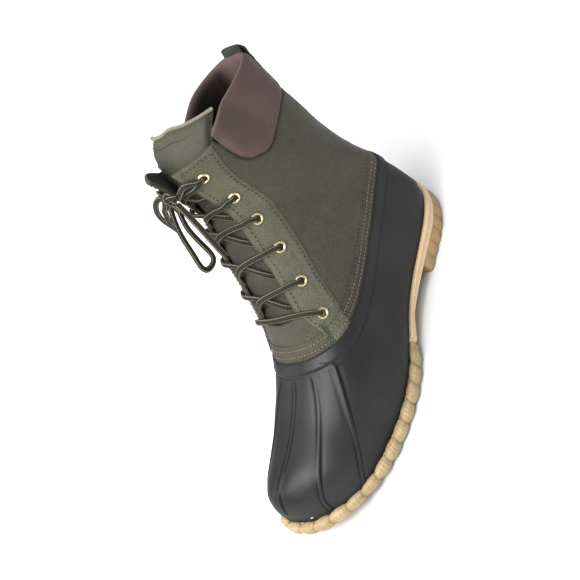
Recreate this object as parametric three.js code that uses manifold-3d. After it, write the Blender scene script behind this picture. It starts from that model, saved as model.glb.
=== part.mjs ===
import * as THREE from 'three';
import Module from 'manifold-3d';

// Duck boot, left. Millimetres, +Z up, toe toward -Y, lateral side toward +X.
// ---------------------------------------------------------------- named sizes
const SOLE_LENGTH = 300;          // outsole, toe to heel
const GAP = 0.3;                  // clearance between neighbouring pieces
const RUBBER_WALL = 2.4;
const LEATHER_WALL = 2.2;
const PAD_DEPTH = 7;
const TONGUE_DEPTH = 3.5;         // outer face of the tongue under the leather surface
const TONGUE_THICKNESS = 2.2;
const EYELET_OUTER = 9.1, EYELET_HOLE = 5.2, EYELET_HEIGHT = 1.3;
const LACE = 3.8;
const LOOP_WIDTH = 24, LOOP_THICKNESS = 1.8;
const CENTRE_X = 1.35, CENTRE_Y = 3.15; // the tables' origin to the middle of the bounding box

// one row per section: ridge point (y, z), edge point (y, z), edge x lateral and medial,
// half width lateral and medial, roundness of the ridge, reach of the ridge curve, radius at the edge
const SECTIONS = [
  // yr     zr     ye     ze    xel   xem    wl    wm    nf    rf    rb
  [-143.5, 32.0, -143.5, 22.0, -13.0, -13.0, 0.0, 0.0, 2.00, 1.00, 40],
  [-142.0, 41.0, -142.0, 21.5, 0.5, -25.0, 13.0, 12.4, 2.00, 1.00, 40],
  [-137.0, 49.0, -137.0, 20.0, 11.5, -33.5, 22.4, 22.2, 2.10, 1.00, 40],
  [-130.0, 54.3, -130.0, 17.8, 19.8, -38.8, 29.4, 30.5, 2.20, 1.00, 40],
  [-118.0, 58.0, -118.0, 14.8, 30.5, -43.5, 37.8, 37.2, 2.30, 1.00, 40],
  [-102.0, 60.5, -102.0, 12.1, 38.7, -46.2, 43.5, 41.8, 2.35, 1.00, 40],
  [-82.0, 65.0, -82.0, 10.0, 43.8, -47.2, 47.0, 43.8, 2.40, 1.00, 40],
  [-62.0, 73.5, -60.0, 9.2, 47.8, -46.2, 50.2, 46.5, 2.40, 1.00, 40],
  [-45.0, 82.5, -37.0, 9.4, 49.5, -43.2, 51.6, 48.3, 2.40, 1.00, 40],
  [-29.0, 95.5, -12.0, 11.2, 47.6, -39.5, 50.0, 48.8, 2.35, 0.95, 42],
  [-14.0, 117.0, 15.0, 14.0, 41.2, -36.0, 45.3, 46.8, 2.25, 0.85, 44],
  [0.0, 142.0, 44.0, 17.0, 37.2, -34.0, 41.5, 45.0, 2.20, 0.72, 46],
  [12.0, 166.0, 74.0, 19.0, 36.2, -33.8, 39.3, 43.3, 2.20, 0.60, 46],
  [20.0, 179.0, 102.0, 20.0, 35.6, -34.2, 38.2, 41.8, 2.15, 0.53, 44],
  [24.0, 186.3, 124.0, 21.0, 31.0, -30.2, 37.5, 40.5, 2.10, 0.49, 42],
  [25.8, 190.0, 137.0, 22.0, 20.0, -20.0, 37.3, 39.8, 2.05, 0.47, 40],
  [26.6, 195.0, 142.0, 23.0, 0.0, 0.0, 37.2, 39.2, 2.00, 0.45, 38],
  [27.0, 202.0, 142.4, 45.0, 0.0, 0.0, 37.4, 39.0, 2.00, 0.45, 38],
  [27.0, 209.0, 140.5, 70.0, 0.0, 0.0, 37.8, 38.8, 2.00, 0.46, 40],
  [27.0, 216.0, 136.2, 94.0, 0.0, 0.0, 38.3, 38.7, 2.00, 0.48, 44],
  [26.7, 222.3, 134.5, 120.0, 0.0, 0.0, 39.7, 39.2, 2.00, 0.50, 48],
  [26.0, 228.6, 137.7, 150.0, 0.0, 0.0, 41.7, 40.5, 2.00, 0.50, 50],
  [25.0, 234.4, 144.0, 180.5, 0.0, 0.0, 43.8, 42.2, 2.00, 0.50, 52],
  [24.0, 240.0, 151.8, 211.5, 0.0, 0.0, 45.5, 43.5, 2.00, 0.50, 52],
];
const CLOSED = 16;                // from this section on both sides meet at the back line
const LAST = SECTIONS.length - 1;

// outsole outline: y, lateral x, medial x
const OUTLINE = [
  [-150, -10, -14], [-149.3, -3.0, -21.0], [-147.5, 4.5, -27.8], [-144, 11.5, -34.3], [-139, 18.5, -39.8], [-132, 26.0, -44.6],
  [-120, 34.8, -49.2], [-105, 42.6, -52.2], [-88, 49.0, -53.8], [-70, 53.3, -53.8], [-52, 55.9, -52.2],
  [-38, 56.5, -49.8], [-22, 54.8, -46.4], [-5, 50.4, -43.2], [15, 44.2, -40.0], [35, 41.0, -38.2],
  [60, 39.6, -37.2], [85, 39.5, -37.8], [105, 38.8, -37.8], [122, 34.6, -34.4], [134, 28.0, -28.4],
  [142, 21.0, -21.6], [147, 13.6, -14.2], [149.4, 6.0, -6.6], [150, 1.6, -2.2],
];
// underside of the tread and top of the sole: y, z
const UNDER = [[-150, 13], [-140, 11], [-130, 8.7], [-120, 6.4], [-110, 4.4], [-92, 1.6], [-76, 0], [-10, 0], [5, 5], [20, 9.5], [32, 11.7], [150, 12]];
const SEAT = [[-150, 22.4], [-143.5, 21.7], [-137, 19.7], [-130, 17.5], [-118, 14.5], [-102, 11.8], [-82, 9.7], [-60, 8.9], [-37, 9.1], [-12, 10.9], [15, 13.7], [44, 16.7], [74, 18.7], [102, 19.6], [124, 20.3], [137, 20.9], [150, 21.6]];
const PLATE_DEPTH = 2.6;          // forefoot: height of the lugs under the plate
const HEEL_FRONT = 70;
// height of the rubber shell's top edge: y, z
const SEAM = [[-60, 88], [-48, 84.5], [-41, 82], [-32, 79], [-26, 77], [-15, 74.3], [0, 71.5], [15, 70], [35, 70.2], [56, 71.8], [85, 74.6], [108, 78], [126, 81.5], [142, 84], [160, 85]];
// edge of the throat on each facing: section number, side position
const FACING = [[9.45, 0.0], [9.5, 0.06], [9.65, 0.115], [9.9, 0.142], [10.4, 0.15], [11, 0.152], [11.8, 0.138], [13.6, 0.112], [16, 0.095], [18, 0.088], [20, 0.09], [22.7, 0.098]];
// lower edge of the collar pad: place between facing (0) and back line (1), section number
const PAD_EDGE = [[0.262, 22.62], [0.268, 22.3], [0.278, 21.6], [0.292, 20.95], [0.31, 20.6], [0.34, 20.42], [0.39, 20.42], [0.44, 20.6], [0.52, 21.05], [0.6, 21.42], [0.7, 21.7], [0.82, 21.83], [0.92, 21.86], [1, 21.86]];
// eyelets: section number, side position
const EYELETS = [[20.6, 0.186], [17.0, 0.186], [13.4, 0.203], [11.9, 0.245], [10.85, 0.266], [9.88, 0.29]];

// ------------------------------------------------------------------ functions
const lerpTable = (tab, v, k = 1) => {
  if (v <= tab[0][0]) return tab[0][k];
  for (let i = 1; i < tab.length; i++) if (v <= tab[i][0]) {
    const u = (v - tab[i - 1][0]) / (tab[i][0] - tab[i - 1][0]);
    return tab[i - 1][k] + u * (tab[i][k] - tab[i - 1][k]);
  }
  return tab[tab.length - 1][k];
};
// monotone cubic through a table's rows
const smoothTable = (tab, v, k = 1) => {
  const n = tab.length;
  if (v <= tab[0][0]) return tab[0][k];
  if (v >= tab[n - 1][0]) return tab[n - 1][k];
  let i = 1; while (v > tab[i][0]) i++;
  const d = (j) => (tab[j][k] - tab[j - 1][k]) / (tab[j][0] - tab[j - 1][0]);
  const slope = (j) => {
    if (j === 0) return d(1);
    if (j === n - 1) return d(n - 1);
    const a = d(j), b = d(j + 1);
    return a * b <= 0 ? 0 : 2 * a * b / (a + b);
  };
  const h = tab[i][0] - tab[i - 1][0], u = (v - tab[i - 1][0]) / h;
  const u2 = u * u, u3 = u2 * u;
  return tab[i - 1][k] * (2 * u3 - 3 * u2 + 1) + h * slope(i - 1) * (u3 - 2 * u2 + u) + tab[i][k] * (3 * u2 - 2 * u3) + h * slope(i) * (u3 - u2);
};
function naturalMoments(y) {
  const n = y.length, c = new Array(n).fill(0), m = new Array(n).fill(0), d = new Array(n).fill(0);
  for (let i = 1; i < n - 1; i++) {
    const r = 6 * (y[i + 1] - 2 * y[i] + y[i - 1]), w = 4 - c[i - 1];
    c[i] = 1 / w; d[i] = (r - d[i - 1]) / w;
  }
  for (let i = n - 2; i > 0; i--) m[i] = d[i] - c[i] * m[i + 1];
  return m;
}
const MOMENTS = SECTIONS[0].map((_, k) => naturalMoments(SECTIONS.map((r) => r[k])));
function section(t) {
  t = Math.min(Math.max(t, 0), LAST);
  const i = Math.min(Math.floor(t), LAST - 1), u = t - i;
  return MOMENTS.map((m, k) => SECTIONS[i][k] * (1 - u) + SECTIONS[i + 1][k] * u
    + ((1 - u) ** 3 - (1 - u)) * m[i] / 6 + (u ** 3 - u) * m[i + 1] / 6);
}
// point of the outer form: t section number, s from -1 (medial edge) over 0 (ridge) to 1 (lateral edge)
function form(t, s) {
  if (Math.abs(s) > 1) s = t >= CLOSED ? s - 2 * Math.sign(s) : Math.sign(s);
  let [yr, zr, ye, ze, xel, xem, wl, wm, nf, rf, rb] = section(t);
  if (t >= CLOSED) { xel = 0; xem = 0; }
  const a = Math.sin(Math.PI / 2 * Math.abs(s)) ** 2, side = s < 0 ? -1 : 1;
  const xc = (xel + xem) / 2, half = (xel - xem) / 2, nb = 2.3;
  const w = Math.max(side > 0 ? wl : wm, half + 1e-6), chord = Math.hypot(ye - yr, ze - zr);
  const v = Math.min(Math.max(half / w, 0), 1);
  const s0 = rb * (1 - Math.max(1 - v ** nb, 0) ** (1 / nb));
  const q = Math.min(a / rf, 1);
  const A = Math.max(1 - (1 - q) ** nf, 0) ** (1 / nf);
  const qb = Math.min(((1 - a) * chord + s0) / rb, 1);
  const B = Math.max(1 - (1 - qb) ** nb, 0) ** (1 / nb);
  return [xc + side * w * A * B, yr + a * (ye - yr), zr + a * (ze - zr)];
}
const sub = (a, b) => [a[0] - b[0], a[1] - b[1], a[2] - b[2]];
const addS = (a, b, k) => [a[0] + b[0] * k, a[1] + b[1] * k, a[2] + b[2] * k];
const cross = (a, b) => [a[1] * b[2] - a[2] * b[1], a[2] * b[0] - a[0] * b[2], a[0] * b[1] - a[1] * b[0]];
const unit = (a) => { const l = Math.hypot(...a) || 1; return a.map((v) => v / l); };
function formNormal(t, s) {
  const e = 2e-3, t0 = Math.max(t - e, 0), t1 = Math.min(t + e, LAST);
  const open = t < CLOSED, s0 = open ? Math.max(s - e, -1) : s - e, s1 = open ? Math.min(s + e, 1) : s + e;
  const wrap = Math.abs(s) > 1 - 1e-9 && !open;
  const sa = wrap ? Math.sign(s) : s;
  return unit(cross(sub(form(t, sa + (s1 - s)), form(t, sa - (s - s0))), sub(form(t1, sa), form(t0, sa))));
}
const onForm = (t, s, off) => addS(form(t, s), formNormal(t, s), off);

// open surface of rows of (t, s, out, in) made into a wall
function wall(strips) {
  const key = new Map(), out = [], inn = [], tri = [];
  const node = (p) => {
    const P = form(p.t, p.s), k = P.map((v) => Math.round(v * 2e3)).join();
    if (!key.has(k)) {
      const n = formNormal(p.t, p.s);
      key.set(k, out.length); out.push(addS(P, n, p.out ?? 0)); inn.push(addS(P, n, -p.in));
    }
    return key.get(k);
  };
  for (const rows of strips) {
    const id = rows.map((r) => r.map(node));
    for (let i = 0; i + 1 < id.length; i++) for (let j = 0; j + 1 < id[i].length; j++) {
      const a = id[i][j], b = id[i][j + 1], c = id[i + 1][j + 1], d = id[i + 1][j];
      for (const f of [[a, b, c], [a, c, d]]) if (f[0] !== f[1] && f[1] !== f[2] && f[0] !== f[2]) tri.push(f);
    }
  }
  const faces = [], edges = new Set(tri.flatMap((f) => [0, 1, 2].map((k) => f[k] + '_' + f[(k + 1) % 3])));
  const n = out.length;
  for (const [a, b, c] of tri) { faces.push([a, b, c], [a + n, c + n, b + n]); }
  for (const f of tri) for (let k = 0; k < 3; k++) {
    const a = f[k], b = f[(k + 1) % 3];
    if (!edges.has(b + '_' + a)) faces.push([b, a, a + n], [b, a + n, b + n]);
  }
  return solid(out.concat(inn), faces);
}
function solid(points, faces) {
  let vol = 0;
  for (const [a, b, c] of faces) {
    const p = points[a], q = cross(points[b], points[c]);
    vol += p[0] * q[0] + p[1] * q[1] + p[2] * q[2];
  }
  if (vol < 0) faces = faces.map(([a, b, c]) => [a, c, b]);
  return { points, faces };
}
// closed rings joined one after the other, with flat ends
function loft(rings) {
  const k = rings[0].length, points = rings.flat(), faces = [];
  for (let i = 0; i + 1 < rings.length; i++) for (let j = 0; j < k; j++) {
    const a = i * k + j, b = i * k + (j + 1) % k;
    faces.push([a, b, b + k], [a, b + k, a + k]);
  }
  const end = (rings.length - 1) * k;
  for (let j = 1; j + 1 < k; j++) { faces.push([0, j + 1, j], [end, end + j, end + j + 1]); }
  return solid(points, faces);
}
// tube of round section along points
function tube(path, radius, sides = 8, flat = 1, up = null) {
  const rings = path.map((p, i) => {
    const d = unit(sub(path[Math.min(i + 1, path.length - 1)], path[Math.max(i - 1, 0)]));
    const u0 = up ? up[i] : (Math.abs(d[2]) < 0.9 ? [0, 0, 1] : [1, 0, 0]);
    const side = unit(cross(d, u0)), u = unit(cross(side, d));
    return Array.from({ length: sides }, (_, j) => {
      const th = 2 * Math.PI * (j + 0.5) / sides;
      return addS(addS(p, side, radius * Math.cos(th)), u, radius * flat * Math.sin(th));
    });
  });
  return loft(rings);
}
const wasm = await Module(); wasm.setup();
function toManifold({ points, faces }) {
  return new wasm.Manifold(new wasm.Mesh({ numProp: 3, vertProperties: new Float32Array(points.flat()), triVerts: new Uint32Array(faces.flat()) }));
}
function fromManifold(m) {
  const g = m.getMesh(), points = [], faces = [];
  for (let i = 0; i < g.vertProperties.length; i += g.numProp) points.push([g.vertProperties[i], g.vertProperties[i + 1], g.vertProperties[i + 2]]);
  for (let i = 0; i < g.triVerts.length; i += 3) faces.push([g.triVerts[i], g.triVerts[i + 1], g.triVerts[i + 2]]);
  return { points, faces };
}
const join = (list) => fromManifold(list.map(toManifold).reduce((a, b) => a.add(b)));

const group = new THREE.Group(); group.name = 'duck_boot';
function put(name, { points, faces }, color, rough, metal = 0) {
  const g = new THREE.BufferGeometry();
  g.setAttribute('position', new THREE.BufferAttribute(new Float32Array(points.flatMap((p) => [p[0] - CENTRE_X, p[1] - CENTRE_Y, p[2]])), 3));
  g.setIndex(faces.flat()); g.computeVertexNormals();
  const m = new THREE.Mesh(g, new THREE.MeshStandardMaterial({ color, roughness: rough, metalness: metal }));
  m.name = name; m.castShadow = m.receiveShadow = true; group.add(m);
}

// ------------------------------------------------------------------- the seam
// where the form crosses the shell's top edge, shifted by dz
function seamPlace(t, dz) {
  const low = (s) => { const p = form(t, s); return p[2] - smoothTable(SEAM, p[1]) - dz; };
  if (low(0) < 0) return 0;
  if (t >= CLOSED && low(1) > 0) return 1;
  let a = 0, b = 1;
  for (let i = 0; i < 40; i++) { const m = (a + b) / 2; if (low(m) > 0) a = m; else b = m; }
  return (a + b) / 2;
}
function seamEnds(dz) {
  let a = 5, b = 11;
  for (let i = 0; i < 50; i++) { const m = (a + b) / 2, p = form(m, 0); if (p[2] - smoothTable(SEAM, p[1]) - dz > 0) b = m; else a = m; }
  const t0 = (a + b) / 2; a = 17; b = 20;
  for (let i = 0; i < 50; i++) { const m = (a + b) / 2, p = form(m, 1); if (p[2] - smoothTable(SEAM, p[1]) - dz > 0) b = m; else a = m; }
  return [t0, (a + b) / 2];
}
const THROAT = [9.45, 9.5, 9.58, 9.7, 9.9, 10.2]; // rows added where the throat begins
const ease = (p) => p * p * (3 - 2 * p);
function seamRows(dz, n, extra = []) {
  const [t0, t1] = seamEnds(dz), ts = [];
  for (let i = 0; i <= n; i++) ts.push(t0 + (t1 - t0) * ease(i / n));
  for (const e of extra) if (e > t0 && e < t1) ts.push(e);
  ts.sort((x, y) => x - y);
  return ts.map((t) => ({ t, s: t <= t0 + 1e-9 ? 0 : t >= t1 - 1e-9 ? 1 : seamPlace(t, dz) }));
}

// --------------------------------------------------------------- rubber shell
{
  const rows = seamRows(-GAP, 13, THROAT), t0 = rows[0].t, n = 9, W = RUBBER_WALL;
  const front = [0, 0.35, 0.8, 1.3, 2, 2.8, 3.7, 4.7, 5.8, 6.9].filter((t) => t < t0 - 0.3);
  const full = [...front, t0].map((t) => Array.from({ length: 2 * n + 1 }, (_, j) => ({ t, s: (j - n) / n, in: W })));
  const side = (sg) => rows.map(({ t, s }) => Array.from({ length: n + 1 }, (_, j) => {
    const v = s + (1 - s) * j / n; return { t, s: sg * v, in: W };
  }));
  put('shell', wall([full, side(1), side(-1).map((r) => r.reverse())]), 0x3a3837, 0.5);
}
// -------------------------------------------------------------- leather upper
const topOf = (g) => (g <= PAD_EDGE[0][0] ? 22.62 : smoothTable(PAD_EDGE, g));
const place = (t, g) => { const f = smoothTable(FACING, t); return f + (1 - f) * g; };
const COLUMNS = [0, 0.09, 0.18, 0.24, 0.262, 0.272, 0.285, 0.31, 0.36, 0.46, 0.58, 0.7, 0.85, 1];
{
  const W = LEATHER_WALL;
  const rows = seamRows(GAP, 13, THROAT), [, t1] = seamEnds(GAP), n = COLUMNS.length - 1;
  const low = (sg) => rows.map(({ t, s }) => COLUMNS.map((g) => {
    const f = smoothTable(FACING, t), lo = t < FACING[0][0] ? 0 : f;
    return { t, s: sg * (lo + (s - lo) * g), in: W };
  }));
  const m = 5;
  const high = (sg) => Array.from({ length: m + 1 }, (_, i) => COLUMNS.map((g) => {
    const t = t1 + (topOf(g) - 0.02 - t1) * i / m; return { t, s: sg * place(t, g), in: W };
  }));
  put('upper', wall([low(1), low(-1).map((r) => r.reverse()), high(1), high(-1).map((r) => r.reverse())]), 0x5b5a4a, 0.75);
}
// ----------------------------------------------------------------- collar pad
{
  const cols = [0.272, 0.285, 0.31, 0.36, 0.46, 0.58, 0.7, 0.85, 1];
  const v = [0, 0.14, 0.32, 0.5, 0.68, 0.84, 0.94, 1];
  const puff = [[0, 0.1], [0.15, 0.9], [0.4, 1.5], [0.7, 1.3], [0.88, 0.2], [1, -1.6]];
  const deep = [[0, 3.2], [0.15, 6], [0.4, PAD_DEPTH], [0.7, PAD_DEPTH], [0.88, 6.2], [1, 4.2]];
  const grid = (sg) => v.map((u) => cols.map((g) => {
    const lo = topOf(g) + 0.05, hi = LAST, t = lo + (hi - lo) * u;
    const end = g < 0.3 ? 0.55 : 1;
    return { t, s: sg * place(t, g + (g < 0.28 ? 0.006 : 0)), out: lerpTable(puff, u) * end, in: lerpTable(deep, u) * end };
  }));
  put('collar_pad', wall([grid(1), grid(-1).map((r) => r.reverse())]), 0x66575a, 0.8);
}
// --------------------------------------------------------------------- tongue
// free part of the tongue: height, then the middle's y, half width
const TONGUE_FREE = [[196, 31.5, 23], [206, 33.8, 23.5], [216, 38.5, 24], [226, 46, 24.5], [235, 55, 25], [243, 65, 25]];
{
  const D = TONGUE_DEPTH, ts = [8.9, 9.4, 10.1, 10.8, 11.6, 12.6, 14, 15.8];
  const ss = [-0.3, -0.23, -0.155, -0.08, 0, 0.08, 0.155, 0.23, 0.3];
  const out = [], inn = [];
  for (const t of ts) for (const s of ss) { const k = t < 10.2 ? 0.8 : 1; out.push(onForm(t, s * k, -D)); inn.push(onForm(t, s * k, -D - TONGUE_THICKNESS)); }
  TONGUE_FREE.forEach(([z, y, w], i) => {
    const h = i / (TONGUE_FREE.length - 1);
    ss.forEach((s) => {
      const c = s / 0.3, x = c * w, zz = z - h * h * (c > 0 ? 13 * c : -4 * c), yy = y + 15 * c * c * (1 - 0.3 * h) + h * h * 9 * c;
      const n = unit([c * 0.9, -1, 0.25 + 0.7 * h]);
      out.push([x, yy, zz]); inn.push(addS([x, yy, zz], n, -TONGUE_THICKNESS));
    });
  });
  const R = ts.length + TONGUE_FREE.length, C = ss.length, N = R * C, faces = [];
  const quad = (a, b, c, d) => faces.push([a, b, c], [a, c, d]);
  for (let i = 0; i + 1 < R; i++) for (let j = 0; j + 1 < C; j++) {
    const a = i * C + j; quad(a, a + 1, a + C + 1, a + C); quad(N + a + C, N + a + C + 1, N + a + 1, N + a);
  }
  for (let j = 0; j + 1 < C; j++) { quad(N + j, N + j + 1, j + 1, j); const e = (R - 1) * C + j; quad(e, e + 1, N + e + 1, N + e); }
  for (let i = 0; i + 1 < R; i++) { const a = i * C; quad(a, a + C, N + a + C, N + a); const b = a + C - 1; quad(N + b, N + b + C, b + C, b); }
  put('tongue', solid(out.concat(inn), faces), 0x6a6a55, 0.8);
}
// ------------------------------------------------------------------- the sole
const stations = [];
for (let i = 0; i <= 38; i++) stations.push(-149.6 + 299.2 * (0.5 - 0.5 * Math.cos(Math.PI * i / 38)));
const inset = (y) => 6.5 * (1 - ease(Math.min(Math.max((y - 2) / 8, 0), 1)));
function edge(y, k, d) {          // outline moved inward by d
  const e = 0.5, x = (v) => smoothTable(OUTLINE, v, k), slope = (x(y + e) - x(y - e)) / (2 * e);
  return x(y) - (k === 1 ? 1 : -1) * d * Math.hypot(1, slope);
}
function plate(ys, d, zTop, zLow, bevel) {
  return loft(ys.map((y) => {
    const xl = edge(y, 1, d(y)), xm = edge(y, 2, d(y)), a = zLow(y), b = zTop(y), e = bevel;
    return [[xm + e, y, a], [xm / 2, y, a], [xl / 2, y, a], [xl - e, y, a], [xl, y, a + e], [xl, y, b - e], [xl - e, y, b], [xl / 2, y, b], [xm / 2, y, b], [xm + e, y, b], [xm, y, b - e], [xm, y, a + e]];
  }));
}
{
  const top = (y) => smoothTable(SEAT, y), lug = (y) => smoothTable(UNDER, y);
  const under = (y) => lug(y) + PLATE_DEPTH * (1 - ease(Math.min(Math.max((y + 6) / 20, 0), 1)));
  const ys = stations.filter((y) => y > -139.8);
  ys.unshift(-140.8);
  const base = plate(ys, inset, top, under, 0.8);
  const bars = [];
  for (let c = -124; c <= -4; c += 15) {
    const a = c - 4.5, b = c + 4.5, ring = [];
    const xl = Math.min(edge(a, 1, 7.5), edge(b, 1, 7.5)), xm = Math.max(edge(a, 2, 7.5), edge(b, 2, 7.5));
    for (let i = 0; i <= 6; i++) {
      const x = xm + (xl - xm) * i / 6, w = 1.6 * Math.sin(i * Math.PI / 2 + 0.8);
      const y0 = a + w, y1 = b + w;
      ring.push([[x, y0, Math.max(lug(y0), 0)], [x, y1, Math.max(lug(y1), 0)], [x, y1, under(y1) + 0.6], [x, y0, under(y0) + 0.6]]);
    }
    bars.push(loft(ring));
  }
  put('outsole', join([base, ...bars]), 0xcfa772, 0.7);
}
{
  const ys = [HEEL_FRONT, HEEL_FRONT + 1.2, ...stations.filter((y) => y > HEEL_FRONT + 3 && y < 149.2), 149.2];
  const block = plate(ys, () => 0.6, (y) => smoothTable(UNDER, y) - GAP, () => 0, 0.8);
  const cuts = [86, 102, 118, 134].map((y) => ({ y }));
  let m = toManifold(block);
  for (const { y } of cuts) m = m.subtract(toManifold(loft([-60, 60].map((x) => [[x, y - 2, -1], [x, y + 2, -1], [x, y + 1.4, 2.6], [x, y - 1.4, 2.6]]))));
  put('heel', fromManifold(m), 0xc4985c, 0.7);
}
{
  // rim round the forefoot, from the lateral waist over the toe to the medial waist
  const pts = [];
  const ys = stations.filter((y) => y < 0.5); ys.push(1.6); ys[0] = -149.95;
  for (let i = ys.length - 1; i >= 0; i--) pts.push([smoothTable(OUTLINE, ys[i], 1), ys[i]]);
  for (let i = 0; i < ys.length; i++) pts.push([smoothTable(OUTLINE, ys[i], 2), ys[i]]);
  const foot = [];                // the shell's outer face just above the rim
  for (let t = 0; t < 12; t += 0.1) for (const s of [-1, -0.96, -0.92, 0.92, 0.96, 1]) foot.push(form(t, s));
  const rings = pts.map((p, i) => {
    const near = Math.min(...foot.map((f) => Math.hypot(f[0] - p[0], f[1] - p[1]))), e = Math.min(5.6, near - 0.75);
    const a = pts[Math.max(i - 1, 0)], b = pts[Math.min(i + 1, pts.length - 1)];
    const l = Math.hypot(b[0] - a[0], b[1] - a[1]), nx = -(b[1] - a[1]) / l, ny = (b[0] - a[0]) / l; // outward: lateral side runs to -y
    const zt = smoothTable(SEAT, p[1]) + 1.3, zb = smoothTable(UNDER, p[1]) + 1.4, q = (e, z) => [p[0] + nx * e, Math.max(p[1] + ny * e, -150), z];
    return [q(-e, zb + 0.8), q(1 - e, zb), q(-1.2, zb), q(0, zb + 1.4), q(0, zt - 2), q(-1.4, zt - 0.2), q(1 - e, zt), q(-e, zt - 0.8)];
  });
  put('welt', loft(rings), 0xdcc195, 0.75);
}
{
  // insole inside the shell
  const ys = [-136, -131, -124, -114, -102, -88, -72, -54, -36, -18, 0, 20, 42, 64, 86, 104, 118, 127, 132, 134.5];
  const edgeRow = (y) => {          // section whose edge point has this y
    let a = 0, b = CLOSED; for (let i = 0; i < 40; i++) { const m = (a + b) / 2; if (section(m)[2] < y) a = m; else b = m; }
    return (a + b) / 2;
  };
  const rings = ys.map((y) => {
    const r = section(edgeRow(y)), d = 4.9, z = smoothTable(SEAT, y) + GAP;
    const slope = (k) => { const e = 1.5; return (section(edgeRow(y + e))[k] - section(edgeRow(y - e))[k]) / (2 * e); };
    const xl = Math.max(r[4] - d * Math.hypot(1, slope(4)), -12), xm = Math.min(r[5] + d * Math.hypot(1, slope(5)), -14);
    const L = Math.max(xl, (xl + xm) / 2 + 2), M = Math.min(xm, (xl + xm) / 2 - 2), h = 3.6;
    return [[M, y, z], [M / 2, y, z], [L / 2, y, z], [L, y, z], [L, y, z + h], [L / 2, y, z + h - 0.9], [M / 2, y, z + h - 0.9], [M, y, z + h]];
  });
  put('insole', loft(rings), 0x3b3835, 0.9);
}
// -------------------------------------------------------------------- eyelets
EYELETS.forEach(([t, s], i) => {
  for (const sg of [1, -1]) {
    const c = form(t, sg * s), n = formNormal(t, sg * s), u = unit(cross(n, [0, 1, 0])), v = cross(n, u);
    const profile = [[EYELET_HOLE / 2, 0.0], [EYELET_OUTER / 2, 0.0], [EYELET_OUTER / 2 - 0.8, EYELET_HEIGHT], [EYELET_HOLE / 2 + 0.3, EYELET_HEIGHT]];
    const N = 12, points = [], faces = [];
    for (let j = 0; j < N; j++) for (const [r, h] of profile) {
      const th = 2 * Math.PI * j / N;
      points.push(addS(addS(addS(c, u, r * Math.cos(th)), v, r * Math.sin(th)), n, h + 0.35));
    }
    const K = profile.length;
    for (let j = 0; j < N; j++) for (let k = 0; k < K; k++) {
      const a = j * K + k, b = j * K + (k + 1) % K, d = ((j + 1) % N) * K + k, e = ((j + 1) % N) * K + (k + 1) % K;
      faces.push([a, b, e], [a, e, d]);
    }
    put(`eyelet_${sg > 0 ? 'lateral' : 'medial'}_${i + 1}`, solid(points, faces), 0xc9b77c, 0.35, 1);
  }
});
// ---------------------------------------------------------------------- laces
const along = (list, n) => {      // list of (t, s, off) -> n + 1 points on the form
  const out = [];
  for (let i = 0; i <= n; i++) {
    const v = i / n * (list.length - 1), k = Math.min(Math.floor(v), list.length - 2), u = v - k;
    const m = list[k].map((a, q) => a + (list[k + 1][q] - a) * u);
    out.push(m);
  }
  return out;
};
const strand = (list, n) => { const p = along(list, n); return tube(p.map((q) => onForm(...q)), LACE / 2, 8, 0.72, p.map((q) => formNormal(q[0], q[1]))); };
for (let k = 0; k < 5; k++) {
  const [ta, sa] = EYELETS[k + 1], [tb, sb] = EYELETS[k], f = smoothTable(FACING, ta);
  const tin = tb + (ta - tb) * 0.13;
  const leg = (sg, h) => strand([[ta - (ta - tb) * 0.12, sg * (f - 0.035), -0.6], [ta - (ta - tb) * 0.5, 0, 1.2 + h], [tin + (ta - tb) * 0.12, -sg * smoothTable(FACING, tb) * 1.02, 2.4], [tin, -sg * (sb - 0.062), 2.6]], 6);
  put(`lace_cross_${k + 1}`, join([leg(1, 0), leg(-1, 0.6)]), 0x3a3a2c, 0.85);
}
{
  const [t, s] = EYELETS[5];
  put('lace_bar', strand([[t + 0.02, s - 0.062, 2.6], [t - 0.08, s * 0.5, 2.6], [t - 0.12, 0, 2.6], [t - 0.08, -s * 0.5, 2.6], [t + 0.02, -(s - 0.062), 2.6]], 12), 0x3a3a2c, 0.85);
}
// the bow: x, y, z of each strand's middle, from the knot round to the knot
const BOW_FRONT = [[-1, 14.5, 222], [-3, 6, 211], [-4.5, 0, 200], [-5.5, -5.5, 188], [-6, -9.5, 179.5], [-6.3, -9, 173.5], [-6.3, -3.5, 170.5], [-6, 2, 172], [-5.2, 4.5, 180], [-4, 6, 190], [-2.2, 9, 203], [1.5, 14, 215]];
const BOW_SIDE = [[-9.5, 18.2, 228.2], [-15, 17, 225], [-24, 16.5, 215], [-29, 17, 204], [-30, 17.5, 197], [-27, 15.5, 194], [-22, 13, 198], [-17, 12.5, 208], [-10.5, 14.5, 219.5]];
const END_FRONT = [[4.5, 16.5, 221], [8, 12, 211], [11, 6, 197], [12.5, 1, 184], [13, -2, 174]];
const KNOT = [[-6, 20, 227.5], [-3, 18.4, 227.2], [0, 18, 227], [3, 18.4, 227], [6, 20, 227]];
const curve = (pts, n) => new THREE.CatmullRomCurve3(pts.map((p) => new THREE.Vector3(...p)), false, 'centripetal').getSpacedPoints(n).map((v) => [v.x, v.y, v.z]);
put('lace_loop_front', tube(curve(BOW_FRONT, 18), LACE / 2, 8, 0.72, curve(BOW_FRONT, 18).map(() => [1, 0.1, 0])), 0x3a3a2c, 0.85);
put('lace_loop_side', tube(curve(BOW_SIDE, 12), LACE / 2, 8, 0.72, curve(BOW_SIDE, 12).map(() => [0.2, -1, 0.3])), 0x3a3a2c, 0.85);
put('lace_end', tube(curve(END_FRONT, 7), LACE / 2, 8, 0.72, curve(END_FRONT, 7).map(() => [1, -0.4, 0])), 0x3a3a2c, 0.85);
put('lace_knot', tube(curve(KNOT, 6), 4.2, 10, 0.85), 0x3a3a2c, 0.85);
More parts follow.
